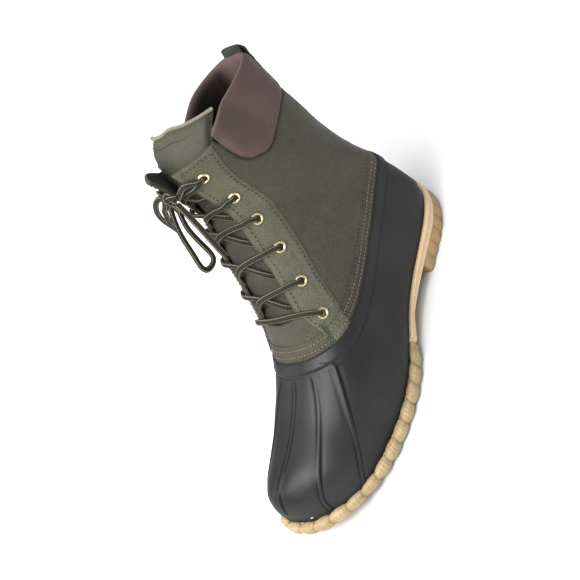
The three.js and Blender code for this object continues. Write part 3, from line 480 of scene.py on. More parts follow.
M_SHELL = rubber_black()
M_LEATHER = leather("upper_leather", (0.059, 0.053, 0.0365), (0.046, 0.0415, 0.028), (0.070, 0.063, 0.043))
M_STAY = leather("eyestay_leather", (0.096, 0.092, 0.060), (0.080, 0.076, 0.049), (0.114, 0.108, 0.073))
M_TONGUE = leather("tongue_leather", (0.062, 0.061, 0.042), (0.049, 0.048, 0.032), (0.076, 0.075, 0.053), 1.3, 0.2, 0.55)
M_PAD = leather("collar_leather", (0.090, 0.056, 0.052), (0.075, 0.047, 0.044), (0.105, 0.067, 0.062), 0.8, 0.05, 0.56)
M_LINING = cloth("lining_cloth", (0.012, 0.012, 0.011), (0.035, 0.034, 0.030), 0.8, 0.2)
M_FLEECE = cloth("tongue_fleece", (0.20, 0.18, 0.13), (0.36, 0.33, 0.25), 0.5, 0.5)
M_INSOLE = cloth("insole_felt", (0.018, 0.016, 0.014), (0.05, 0.045, 0.04), 0.7, 0.3)
M_WEB = cloth("pull_webbing", (0.010, 0.016, 0.011), (0.030, 0.040, 0.028), 1.1, 0.45)
M_GUM = gum("gum_outsole", (0.62, 0.46, 0.285), (0.55, 0.395, 0.23), (0.69, 0.54, 0.36))
M_HEEL = gum("gum_heel", (0.35, 0.225, 0.100), (0.295, 0.184, 0.077), (0.41, 0.28, 0.14))
M_ROPE = gum("gum_rope", (0.35, 0.265, 0.142), (0.275, 0.20, 0.10), (0.45, 0.36, 0.22), 0.4)
M_LACE = braid("lace_braid", (0.0150, 0.0148, 0.0095), (0.005, 0.005, 0.0035), (0.22, 0.19, 0.105))
M_BRASS = metal()
# near-black material for the discs in the eyelet holes: painted shade inside the holes
g_ = Graph("eyelet_hole_shade"); M_HOLE_SHADE = g_.set(Base_Color=g_.mix(g_.noise(2.0), (0.004, 0.004, 0.003), (0.010, 0.009, 0.007)), Roughness=0.95)
g_ = Graph("thread_dark"); M_THREAD = g_.set(Base_Color=g_.mix(g_.noise(0.5), (0.013, 0.013, 0.009), (0.030, 0.029, 0.020)), Roughness=0.8, Normal=g_.bump(g_.noise(0.3), 0.05))
g_ = Graph("thread_olive"); M_THREAD2 = g_.set(Base_Color=g_.mix(g_.noise(0.5), (0.075, 0.068, 0.040), (0.13, 0.118, 0.075)), Roughness=0.75, Normal=g_.bump(g_.noise(0.3), 0.05))
g_ = Graph("thread_green"); M_THREAD3 = g_.set(Base_Color=g_.mix(g_.noise(0.5), (0.012, 0.024, 0.014), (0.030, 0.050, 0.032)), Roughness=0.7, Normal=g_.bump(g_.noise(0.3), 0.05))
g_ = Graph("thread_white"); M_THREAD4 = g_.set(Base_Color=g_.mix(g_.noise(0.4), (0.55, 0.53, 0.48), (0.75, 0.73, 0.68)), Roughness=0.8, Normal=g_.bump(g_.noise(0.3), 0.05))


# ------------------------------------------------------------------- the shell
def wave(P, amp, size, seed=0.0):
    """slow unevenness of a hand-laid surface"""
    x, y, z = (P[..., i] / size for i in range(3))
    return amp * (np.sin(x * 2.1 + y * 1.3 + seed) + np.sin(y * 2.7 - z * 1.9 + 1.7 + seed) + np.sin(z * 2.3 + x * 1.1 + 4.1 + 2 * seed)) / 3


RIBS = [
    [(7.47, 0.0), (6.86, 0.005), (6.12, 0.003), (4.79, 0.005), (3.57, 0.004), (2.65, 0.0), (1.6, -0.008), (0.9, -0.02), (0.35, -0.03)],
    [(7.62, 0.123), (6.61, 0.167), (5.5, 0.213), (4.21, 0.313), (3.27, 0.463), (2.72, 0.647), (2.5, 0.97)],
    [(8.12, 0.253), (6.585, 0.38), (5.11, 0.62), (4.58, 0.803), (4.42, 0.97)],
    [(7.62, -0.128), (6.61, -0.172), (5.5, -0.22), (4.21, -0.315), (3.27, -0.463), (2.72, -0.647), (2.5, -0.97)],
    [(8.12, -0.26), (6.585, -0.385), (5.11, -0.62), (4.58, -0.803), (4.42, -0.97)],
]


def seam_line(dz, n=900):
    a, b = seam_ends(dz); t = a + (b - a) * ease(np.linspace(0, 1, n)); s = seam_s(t, dz); s[0] = 0; s[-1] = 1
    return t, s


def build_shell():
    LIP = 1.3
    t0, t1 = seam_ends(LIP)
    v = np.linspace(0, 1, 97)
    T = spread_rows(0.0, t0, lambda t: 0.95 if t < 1 else 1.2)
    front_s = np.concatenate([-v[::-1], v[1:]])
    def values(t, s):
        P = form(t, s); n = normal(t, s); first = t < 0.02
        n[first] = unit(np.array([0, -1.0, 0.35]))
        tl, sl = seam_line(0.0); line = form(tl, sl); line = np.concatenate([line, form(tl, -sl)])
        d, _ = nearest(P, line); above = seam_gap(t, s, 0.0) > 0; d = np.where(above & (d < 6), -d, d)
        band = 1.0 * (1 - ease((d - 7.3) / 1.4)) * ease((d + 1.9) / 1.8) + 0.12 - 0.45 * np.exp(-((d - 9.0) / 0.8) ** 2) * (d > 0)
        band = np.where(d > 12, 0.0, band); band = band - 0.12 * (d > 8.2)
        h = band
        lines, rw = [], np.zeros(P.shape[:-1])
        for r in RIBS:
            q, L = curve_on(r, 420); dl, at = nearest(P, form(q[:, 0], q[:, 1]))
            e = ease(at / 0.02) * ease((1 - at) / 0.05)
            free = ease((d - 7.0) / 1.5)
            h = h + e * free * (0.55 * np.exp(-(dl / 1.5) ** 2) - 0.22 * np.exp(-((dl - 3.1) / 1.2) ** 2))
            o_ = np.argsort(q[:, 0]); sr = np.interp(t, q[o_, 0], q[o_, 1]); lines.append(np.where(s >= sr, 1.0, -1.0) * np.minimum(dl, 7)); rw = np.maximum(rw, e * free * (dl < 6.9))
        h = h + wave(P, 0.35, 26) * ease((d - 9) / 8) + wave(P, 0.12, 9, 2.0) * ease((d - 9) / 8)
        inn = np.where(d < 3, 0.7, 2.4)
        sc = np.zeros(P.shape[:-1])
        for a, b, w in (((34.5, 113.0, 66.0), (37.3, 90.0, 50.0), 0.55), ((44.0, 20.0, 38.0), (45.0, 12.0, 33.0), 0.35)):
            line2 = np.linspace(a, b, 60); dd, at = nearest(P, line2); sc = np.maximum(sc, np.exp(-(dd / w) ** 2) * (P[..., 0] > 0))
        fl = np.zeros(P.shape[:-1])
        for c, r in (((2.0, -139.5, 27.0), 2.0), ((49.0, -47.0, 20.0), 1.1), ((49.5, -40.0, 26.0), 0.8)):
            fl = np.maximum(fl, np.linalg.norm(P - np.array(c), axis=-1) < r)
        return {"p": P, "n": n, "out": h, "inn": inn, "scuff": sc, "fleck": fl, "ribs": rw, **{"rib%d" % (i + 1): x for i, x in enumerate(lines)}}
    tt, ss = np.meshgrid(T, front_s, indexing="ij"); full = values(tt, ss)
    rows = spread_rows(t0, t1, lambda t: 1.35 if t < 9.6 else 2.7)
    s0 = seam_s(rows, LIP); s0[0] = 0; s0[-1] = 1
    S = s0[:, None] + (1 - s0[:, None]) * v[None, :]
    left = values(np.broadcast_to(rows[:, None], S.shape), S); right = values(np.broadcast_to(rows[:, None], S.shape)[:, ::-1], -S[:, ::-1])
    P, F, kind, att = wall([full, left, right], bulge=0.25)
    make("rubber_shell", P, F, [M_SHELL, M_LINING], [1 if k == 1 else 0 for k in kind], {k: att[k] for k in ("scuff", "fleck", "ribs", "rib1", "rib2", "rib3", "rib4", "rib5")}, nodes=("shell",), sharp=80)


# ------------------------------------------------------------------ the upper
STAY_FRONT = np.array([[8.75, 0.297], [9.0, 0.262], [9.3, 0.222], [9.6, 0.178], [9.9, 0.150], [10.4, 0.153], [11, 0.155], [11.8, 0.141], [13.6, 0.115], [16, 0.098], [18, 0.091], [20, 0.093], [22.7, 0.101]])


def pad_distance(P):
    g = np.linspace(0.262, 1, 260); t = top_of(g); out = []
    for sg in (1, -1): out.append(form(t, sg * place(t, g)))
    return nearest(P, np.concatenate(out))[0]


def build_upper():
    t0, t1 = seam_ends(-2.0)
    G = np.unique(np.concatenate([np.linspace(0, 0.3, 22), np.linspace(0.3, 1, 34)]))
    T = spread_rows(t0, t1, lambda t: 1.9, (0.0, 0.3, 0.6, 1.0), THROAT_ROWS)
    s0 = seam_s(T, -2.0); s0[0] = 0; s0[-1] = 1
    lo = np.where(T < FACING[0, 0], 0.0, smooth(FACING, T))
    S = lo[:, None] + (s0 - lo)[:, None] * G[None, :]
    H = np.linspace(0, 1, 62)[:, None]; TH = t1 + (top_of(G)[None, :] - 0.02 - t1) * H; SH = place(TH, G[None, :])
    line = form(*seam_line(0.0)); line = np.concatenate([line, line * 1.0])
    tl, sl = seam_line(0.0); line = np.concatenate([form(tl, sl), form(tl, -sl)])
    def values(t, s):
        P = form(t, s); n = normal(t, s); d, _ = nearest(P, line)
        h = wave(P, 0.5, 30, 1.0) * ease(d / 15) + wave(P, 0.22, 10, 3.0) * ease(d / 12)
        # flex wrinkles behind the lacing at the ankle and along the tendon
        for (a, b, k, w) in (((37, 34, 118), (39, 96, 96), -0.9, 5.0), ((36, 40, 132), (38, 88, 118), -0.6, 5.0), ((-36, 34, 118), (-38, 96, 96), -0.9, 5.0),
                             ((30, 112, 128), (12, 134, 122), -1.2, 4.0), ((-30, 112, 128), (-12, 134, 122), -1.2, 4.0), ((32, 110, 112), (14, 136, 107), -0.9, 3.6), ((-32, 110, 112), (-14, 136, 107), -0.9, 3.6)):
            q = fair([a, ((a[0] + b[0]) / 2 * 1.04, (a[1] + b[1]) / 2, (a[2] + b[2]) / 2 + 3), b], 60); dd, at = nearest(P, q)
            e = np.sin(np.pi * np.clip(at, 0, 1)) ** 0.7
            h = h + k * e * np.exp(-(dd / w) ** 2) - 0.5 * k * e * np.exp(-((dd - w * 1.7) / w) ** 2)
        # the edge under the pad's seam is pulled in a little
        dp = pad_distance(P); h = h - 0.9 * np.exp(-(dp / 2.2) ** 2) * (t > 19)
        for dz, k in ((4.2, 0.3), (8.6, 0.3), (12.6, 0.35)):
            h = h - k * np.exp(-((d - dz * 1.03) / 0.9) ** 2)
        # painted shade: darker along the rubber shell's top edge and under the collar pad's lower edge
        dark = 0.35 * np.exp(-(np.clip(d - 1.0, 0, 99) / 1.6) ** 2) + 0.5 * np.exp(-(dp / 1.4) ** 2) * (t > 19)
        return {"p": P, "n": n, "out": np.where(d < 3, h * 0.3 - 0.1, h), "inn": np.full(P.shape[:-1], 2.2), "dark": dark}
    TT = np.broadcast_to(T[:, None], S.shape)
    grids = [values(TT, S), values(TT[:, ::-1], -S[:, ::-1]), values(TH, SH), values(TH[:, ::-1], -SH[:, ::-1])]
    P, F, kind, att = wall(grids, bulge=0.2)
    make("leather_upper", P, F, [M_LEATHER, M_LINING], [1 if k == 1 else 0 for k in kind], {"dark": att["dark"]}, nodes=("upper",))


THROAT_ROWS = (9.45, 9.5, 9.58, 9.7, 9.9, 10.2)


def stay_edges(T):
    lo = smooth(STAY_FRONT, T); hi = np.minimum(smooth(EYESTAY, T), seam_s(T, 1.2))
    return lo, np.maximum(hi, lo + 1e-3)


def build_eyestays():
    T = spread_rows(8.80, 22.6, lambda t: 1.7, (0.1, 0.3)); lo, hi = stay_edges(T)
    v = np.linspace(0, 1, 26)
    for sg, name in ((1, "lateral"), (-1, "medial")):
        S = lo[:, None] + (hi - lo)[:, None] * v[None, :]; TT = np.broadcast_to(T[:, None], S.shape)
        if sg < 0: S = -S[:, ::-1]; TT = TT[:, ::-1]
        P = form(TT, S); n = normal(TT, S)
        ends = np.minimum(np.abs(TT - 22.6) * 6, 9)
        edge = np.minimum(np.abs(np.abs(S) - lo[:, None]), np.abs(hi[:, None] - np.abs(S))) * 60
        h = 1.0 + wave(P, 0.25, 18, 5.0) - 0.45 * (1 - ease(edge / 1.4)) - 0.22 * np.exp(-((edge - 3.0) / 0.8) ** 2)
        for (te, se) in EYELETS:
            c = form(te, sg * se); r = np.linalg.norm(P - c, axis=-1); h = h - 0.35 * np.exp(-((r - 5.0) / 2.2) ** 2) * (r < 12)
        dark = 0.25 * (1 - ease(edge / 0.8))
        P2, F, kind, att = wall([{"p": P, "n": n, "out": h, "inn": np.full(P.shape[:-1], 0.15), "dark": dark}], bulge=0.35)
        make("eyestay_" + name, P2, F, [M_STAY], None, {"dark": att["dark"]})


# ------------------------------------------------------------------- stitches
def beads(places, length, radius, lift=0.0, sides=6):
    """short rounded stitches at (point, direction, normal)"""
    P, F, b = [], [], 0
    prof = [(-0.5, 0.25), (-0.36, 0.8), (0.0, 1.0), (0.36, 0.8), (0.5, 0.25)]
    th = 2 * np.pi * np.arange(sides) / sides
    for p, d, n in places:
        n = unit(n - d * np.dot(n, d)); s = np.cross(d, n)
        for a, r in prof:
            sag = -0.25 * radius if abs(a) > 0.4 else 0.0
            P.append(p + d * (a * length) + n * (lift + sag) + (np.cos(th)[:, None] * s + np.sin(th)[:, None] * n * 0.8) * radius * r)
        for i in range(len(prof) - 1):
            for j in range(sides):
                q = (j + 1) % sides; F.append([b + i * sides + j, b + (i + 1) * sides + j, b + (i + 1) * sides + q, b + i * sides + q])
        F.append([b + j for j in range(sides)]); F.append([b + (len(prof) - 1) * sides + j for j in range(sides)][::-1])
        b += len(prof) * sides
    return np.concatenate(P), F, np.zeros((b, 2))


def stitch_row(ts, off, pitch, length, radius, skip=None):
    """ts: dense (n, 2) of section number and side position"""
    p = on(ts[:, 0], ts[:, 1], off); L = np.concatenate([[0], np.cumsum(np.linalg.norm(np.diff(p, axis=0), axis=1))])
    m = max(1, int(L[-1] / pitch)); at = (np.arange(m) + 0.5) * L[-1] / m
    q = np.stack([np.interp(at, L, p[:, k]) for k in range(3)], 1); q1 = np.stack([np.interp(at + 0.5, L, p[:, k]) for k in range(3)], 1); q0 = np.stack([np.interp(at - 0.5, L, p[:, k]) for k in range(3)], 1)
    t = np.interp(at, L, ts[:, 0]); s = np.interp(at, L, ts[:, 1]); n = normal(t, s); d = unit(q1 - q0)
    keep = [i for i in range(m) if skip is None or not skip(t[i], s[i])]
    return [(q[i], d[i], n[i]) for i in keep]


def build_stitches():
    olive, dark, green, white = [], [], [], []
    inside_stay = lambda t, s: 8.8 < t < 22.6 and smooth(STAY_FRONT, t) - 0.004 < abs(s) < min(smooth(EYESTAY, t), 1) + 0.004
    for dz, bag, k in ((4.2, olive, 3.1), (8.6, olive, 3.1), (12.6, dark, 3.3)):
        t, s = seam_line(dz)
        keep = np.ones(len(t), bool)
        for sg in (1, -1):
            a = np.stack([t, sg * s], 1)
            lift = np.array([1.05 if inside_stay(x, y) else 0.05 for x, y in a])
            p = on(a[:, 0], a[:, 1], lift)
            L = np.concatenate([[0], np.cumsum(np.linalg.norm(np.diff(p, axis=0), axis=1))]); m = int(L[-1] / k); at = (np.arange(m) + 0.5) * L[-1] / m
            f = lambda x: np.stack([np.interp(x, L, p[:, i]) for i in range(3)], 1)
            n = normal(np.interp(at, L, a[:, 0]), np.interp(at, L, a[:, 1])); q = f(at); d = unit(f(at + 0.6) - f(at - 0.6))
            bag += [(q[i], d[i], n[i]) for i in range(m)]
    T = np.linspace(9.2, 22.3, 500)
    for sg in (1, -1):
        lo = smooth(STAY_FRONT, T) + 0.032; hi = smooth(EYESTAY, T) - 0.018
        k1 = (lo < seam_s(T, 3.0)); dark += stitch_row(np.stack([T, sg * lo], 1)[k1], 0.95, 3.5, 2.1, 0.42)
        T2 = np.linspace(10.25, 22.3, 500); hi = smooth(EYESTAY, T2) - 0.018
        dark += stitch_row(np.stack([T2, sg * hi], 1), 0.95, 3.5, 2.0, 0.46)
        w = np.linspace(0, 1, 60); dark += stitch_row(np.stack([22.3 + 0 * w, sg * (smooth(STAY_FRONT, 22.3) + 0.032 + w * (smooth(EYESTAY, 22.3) - 0.018 - smooth(STAY_FRONT, 22.3) - 0.032))], 1), 0.95, 3.0, 2.0, 0.42)
        # round the pad's lower edge
        g = np.linspace(0.285, 0.995, 500); t = top_of(g); c = form(t, sg * place(t, g)); d = np.gradient(c, axis=0)
        tt = t - 0.085 - 0.06 * (g < 0.34); dark += stitch_row(np.stack([tt, sg * place(tt, g - 0.010 * (g < 0.34))], 1), 0.0, 2.9, 1.9, 0.42)
        for k in range(9):              # bartack
            a = np.array([9.50 - 0.075 * k, 0.256 + 0.002 * k]); q = np.stack([np.linspace(a[0] - 0.05, a[0] + 0.05, 20), sg * np.linspace(a[1] - 0.020, a[1] + 0.020, 20)], 1)
            green += stitch_row(q, 1.2, 9.0, 6.0, 0.5)
        for k in range(3):
            q = np.stack([np.linspace(9.45, 8.92, 60), sg * (np.linspace(0.245, 0.262, 60) + 0.012 * k)], 1); green += stitch_row(q, 1.3, 3.0, 2.6, 0.5)
    kn = on(np.array([20.86]), np.array([0.437]), 1.2)[0]; nn = normal(np.array([20.86]), np.array([0.437]))[0]
    white += [(kn, unit(np.array([0.1, 0.3, 1.0])), nn), (kn + np.array([0, 1.0, 1.2]), unit(np.array([0, 1.0, 0.4])), nn)]
    for name, bag, m, l, r, lf in (("stitches_olive", olive, M_THREAD2, 2.2, 0.58, 0.1), ("stitches_dark", dark, M_THREAD, 1.9, 0.56, 0.05), ("bartacks", green, M_THREAD3, 3.6, 0.5, 0.1), ("thread_knot", white, M_THREAD4, 2.6, 0.7, 0.2)):
        P, F, _ = beads(bag, l, r, lf); make(name, P, F, [m], sharp=None)


# ------------------------------------------------------------------ collar pad
def build_pad():
    g = np.concatenate([np.linspace(0.268, 0.36, 22)[:-1], np.linspace(0.36, 1, 74)])
    # closed section: (share of the height, offset out) from the lower outer edge up, over the top and down inside
    prof = np.array([(0.0, -1.6), (0.0, -0.2), (0.03, 0.9), (0.10, 1.7), (0.22, 2.4), (0.38, 2.8), (0.55, 2.9), (0.70, 2.7), (0.82, 2.1), (0.91, 1.1), (0.97, -0.4), (1.0, -2.0),
                     (1.005, -3.8), (0.98, -5.4), (0.92, -6.7), (0.80, -7.6), (0.62, -8.0), (0.42, -7.8), (0.24, -7.0), (0.10, -5.6), (0.02, -4.0), (-0.01, -2.8)])
    pr = fair(np.column_stack([prof, np.zeros(len(prof))]), 54)[:, :2]
    lo = top_of(g) - 0.03; u, off = pr[:, 0], pr[:, 1]
    t = lo[None, :] + (LAST - lo[None, :]) * u[:, None]; t = np.minimum(t, LAST)
    gg = np.broadcast_to(g[None, :], t.shape)
    front = ease((gg - 0.262) / 0.05)
    o = np.broadcast_to(off[:, None], t.shape) * (0.35 + 0.65 * front)
    mid = np.sin(np.pi * np.clip(u, 0, 1))[:, None]
    both = []
    for sg in (1, -1):
        s = sg * place(t, gg); P = form(t, s); n = normal(t, s)
        outer = (np.arange(len(pr)) < 27)[:, None]
        P0 = P.copy()
        rip = 0.7 * np.sin(P0[..., 0] * 0.16 + P0[..., 1] * 0.10 + sg) * mid + 0.35 * np.sin(P0[..., 2] * 0.33 + P0[..., 1] * 0.21 + 2 * sg) * mid
        back = ease((gg - 0.80) / 0.2)
        crease = -1.6 * np.exp(-((gg - 0.90) / 0.022) ** 2) * mid - 1.0 * np.exp(-((gg - 0.80) / 0.02) ** 2) * mid * (u[:, None] > 0.35)
        oo = o + np.where(outer, rip + crease, -rip * 0.7 - crease * 0.6) * front
        Q = P + n * oo[..., None]; top = ease((u[:, None] - 0.9) / 0.1); Q[..., 2] += (top * 0.6) * front
        both.append((Q, g))
    Pm = np.concatenate([both[0][0], both[1][0][:, ::-1][:, 1:]], 1)     # lateral front -> back line -> medial front
    R, C = Pm.shape[:2]; F = []
    for i in range(R):
        for j in range(C - 1):
            q = (i + 1) % R; F.append([i * C + j, i * C + j + 1, q * C + j + 1, q * C + j])
    F.append([i * C for i in range(R)]); F.append([i * C + C - 1 for i in range(R)][::-1])
    P = Pm.reshape(-1, 3)
    F = orient(P, F)
    # painted shade on the inner face of the pad, down into the collar, fading out towards the back
    gc = np.concatenate([g, g[::-1][1:]]); pad_inner_shade = ease((np.arange(len(pr)) - 33) / 5)[:, None] * ease((0.90 - gc) / 0.09)[None, :]
    o = make("padded_collar", P, F, [M_PAD], None, {"dark": pad_inner_shade}, nodes=("collar_pad",))


def orient(P, F):
    v = 0.0; P = np.asarray(P)
    for f in F:
        a = P[f[0]]
        for i in range(1, len(f) - 1): v += a.dot(np.cross(P[f[i]], P[f[i + 1]]))
    return [f[::-1] for f in F] if v < 0 else F


# --------------------------------------------------------------------- tongue
def build_tongue():
    ts = np.array([8.9, 9.4, 10.1, 10.8, 11.6, 12.6, 14, 15.8]); ss = np.linspace(-0.3, 0.3, 9); D = 3.5
    rows = []
    for t in ts: rows.append(on(t, ss * (0.8 if t < 10.2 else 1.0), -D))
    for i, (z, y, w) in enumerate(TONGUE_FREE):
        h = i / (len(TONGUE_FREE) - 1); c = ss / 0.3
        wide = np.where(c < 0, 1 + 0.34 * math.sin(math.pi * min(1, 0.15 + 0.85 * h)) ** 0.7, 1.0)
        rows.append(np.stack([c * w * wide, y + 15 * c * c * (1 - 0.3 * h) + h * h * 9 * c, z - h * h * np.where(c > 0, 13 * c, -4 * c)], 1))
    K = np.array(rows); m1 = moments(K); R = 96; A = spline(K, m1, np.linspace(0, len(K) - 1, R))
    B = A.transpose(1, 0, 2); m2 = moments(B); C = 49; A = spline(B, m2, np.linspace(0, len(B) - 1, C)).transpose(1, 0, 2)
    n = unit(np.cross(np.gradient(A, axis=1), np.gradient(A, axis=0)))
    if n[R // 2, C // 2, 1] > 0: n = -n
    v = np.linspace(0, 1, R)[:, None]; c = np.linspace(-1, 1, C)[None, :]
    edge = ease((1 - np.abs(c)) / 0.16); topm = ease((1 - v) / 0.035); free = ease((v - 0.72) / 0.2)
    puff = 1.3 * edge * topm * free + 0.4 * np.sin(v * 60 + c * 2) * free * edge * 0.35
    tuck = -1.5 * (1 - edge) * free
    row = np.exp(-((v - 0.955) / 0.006) ** 2) * 0.35
    inn = 2.2 + 1.2 * edge * topm * free
    flip = np.cross(A[1, 1] - A[0, 1], A[0, 1] - A[0, 0]).dot(n[0, 0]) > 0
    # dark: painted shade along the tongue's edges tucked under the eyestays, on its medial side and towards its lower
    # part
    g = {"p": A, "n": n, "out": puff + tuck - row, "inn": inn + 0 * puff, "dark": np.clip(0.45 * (1 - ease((1 - np.abs(c)) / 0.3)) + 0.55 * ease((0.25 - c) / 1.2) * ease((1.02 - v) / 0.2) + 0.35 * ease((0.93 - v) / 0.15), 0, 0.85)}
    if not flip: g = {k: x[:, ::-1] for k, x in g.items()}
    P, F, kind, att = wall([g], bulge=0.4)
    F2 = orient(P, F)
    make("tongue_leather", P, F2, [M_TONGUE, M_LINING], [1 if k == 1 else 0 for k in kind], {"dark": att["dark"]}, nodes=("tongue",))
    # overlocked edge along the top
    top = A[-1] + n[-1] * 0.3; path = fair(top + np.array([0, 0, 0.3]), 90)
    rad = 1.35 + 0.18 * np.sin(np.arange(90) * 1.9)
    P, F, uv = tube(path, 1.0, 1.0, up=(0, 0.3, 1), sides=10, taper=rad)
    make("tongue_edge", P, F, [M_FLEECE])
    # a stitched row under it
    q = A[-6] ; path = fair(q, 120); nn = unit(np.array([0, -1, 0.5])); pl = []
    for i in range(4, 116, 3): pl.append((path[i] + nn * 1.3 * min(1, i / 20, (119 - i) / 20), unit(path[i + 1] - path[i - 1]), nn))
    P, F, _ = beads(pl, 1.9, 0.4, 0.3); make("tongue_stitches", P, F, [M_THREAD], sharp=None)


# ------------------------------------------------------------------- the sole
def out_x(y, k, d=0.0):
    e = 0.5; x = lambda v: smooth(OUTLINE, v, k); sl = (x(y + e) - x(y - e)) / (2 * e)
    return x(y) - (1 if k == 1 else -1) * d * np.hypot(1, sl)


def outline_ring(n, d=0.0, y0=-150.0, y1=150.0):
    """points round the outline from the lateral front, evenly spaced: x, y, outward normal"""
    yy = y0 + (y1 - y0) * (0.5 - 0.5 * np.cos(np.pi * np.linspace(0, 1, 900)))
    lat = np.stack([smooth(OUTLINE, yy, 1), yy], 1); med = np.stack([smooth(OUTLINE, yy, 2), yy], 1)[::-1]
    loop = np.concatenate([lat, med, lat[:1]]); L = np.concatenate([[0], np.cumsum(np.linalg.norm(np.diff(loop, axis=0), axis=1))])
    at = np.linspace(0, L[-1], n + 1)[:-1]; p = np.stack([np.interp(at, L, loop[:, k]) for k in range(2)], 1)
    for _ in range(4): p = (np.roll(p, 1, 0) + 2 * p + np.roll(p, -1, 0)) / 4
    t = unit(np.roll(p, -1, 0) - np.roll(p, 1, 0)); nrm = np.stack([t[:, 1], -t[:, 0]], 1)
    return p - nrm * d, nrm


def slab(ring, heights, close_bottom=True):
    """stack of rings (list of (n, 3)) closed at both ends with strips across"""
    n = len(ring[0]); P = np.concatenate(ring); F = []
    for i in range(len(ring) - 1):
        for j in range(n):
            q = (j + 1) % n; F.append([i * n + j, i * n + q, (i + 1) * n + q, (i + 1) * n + j])
    half = n // 2
    for base, rev in ((0, True), ((len(ring) - 1) * n, False)):
        for j in range(half - 1):
            a, b, c, d = j, j + 1, n - 2 - j, n - 1 - j
            f = [base + x for x in dict.fromkeys((a, b, c, d))]
            if len(f) >= 3: F.append(f[::-1] if rev else f)
    return P, orient(P, F)


def build_sole():
    n = 640
    p, nr = outline_ring(n); y = p[:, 1]
    front = 1 - ease((y - 0.0) / 9.0)                # the forefoot is set in behind the rope rim
    top = smooth(SEAT, y); lug = smooth(UNDER, y); under = lug + 2.6 * (1 - ease((y + 6) / 20))
    rings = []
    H = top - under + 0.9 * (1 - front)
    for u, d in ((0.0, 2.4), (0.0, 1.2), (0.06, 0.35), (0.16, 0.0), (0.30, 0.12), (0.52, 0.42), (0.66, 0.38), (0.70, 0.15), (0.76, -0.35), (0.86, -0.5), (0.95, -0.2), (1.0, 0.5), (1.0, 1.6), (0.95, 3.4)):
        q = p - nr * (d * (1 - front) + front * (6.5 + 0.4 * d))[:, None]
        rings.append(np.column_stack([q, under + H * u]))
    plate = slab(rings, None)
    parts = [plate]
    for c in range(-124, -3, 15):
        a, b = c - 4.5, c + 4.5; xl = min(out_x(a, 1, 7.2), out_x(b, 1, 7.2)); xm = max(out_x(a, 2, 7.2), out_x(b, 2, 7.2)); secs = []
        for x in np.linspace(xm, xl, 60):
            w = 1.6 * math.sin((x - xm) / (xl - xm) * 6 * math.pi / 2 + 0.8); e = min(1, min(x - xm, xl - x) / 1.2 + 0.35)
            y0, y1 = a + w, b + w; h0, h1 = max(float(smooth(UNDER, y0)), 0), max(float(smooth(UNDER, y1)), 0); g0, g1 = float(smooth(UNDER, y0)) + 3.4, float(smooth(UNDER, y1)) + 3.4; m = (y0 + y1) / 2; k = 4.5 * e
            secs.append([(x, m - k - 0.4, g0), (x, m - k, h0 + 0.9), (x, m - k + 0.7, h0), (x, m + k - 0.7, h1), (x, m + k, h1 + 0.9), (x, m + k + 0.4, g1)])
        S = np.array(secs); r = 6; P = S.reshape(-1, 3); F = []
        for i in range(len(S) - 1):
            for j in range(r): F.append([i * r + j, i * r + (j + 1) % r, (i + 1) * r + (j + 1) % r, (i + 1) * r + j])
        F.append(list(range(r))); F.append([(len(S) - 1) * r + j for j in range(r)][::-1]); parts.append((P, orient(P, F)))
    P, F, _ = merge([(a, b) for a, b in parts])
    yy = P[:, 1]; u = P[:, 2]
    make("gum_outsole", P, F, [M_GUM], None, {"dark": np.clip(0.0 + 0.0 * u, 0, 1)}, nodes=("outsole",), sharp=35)


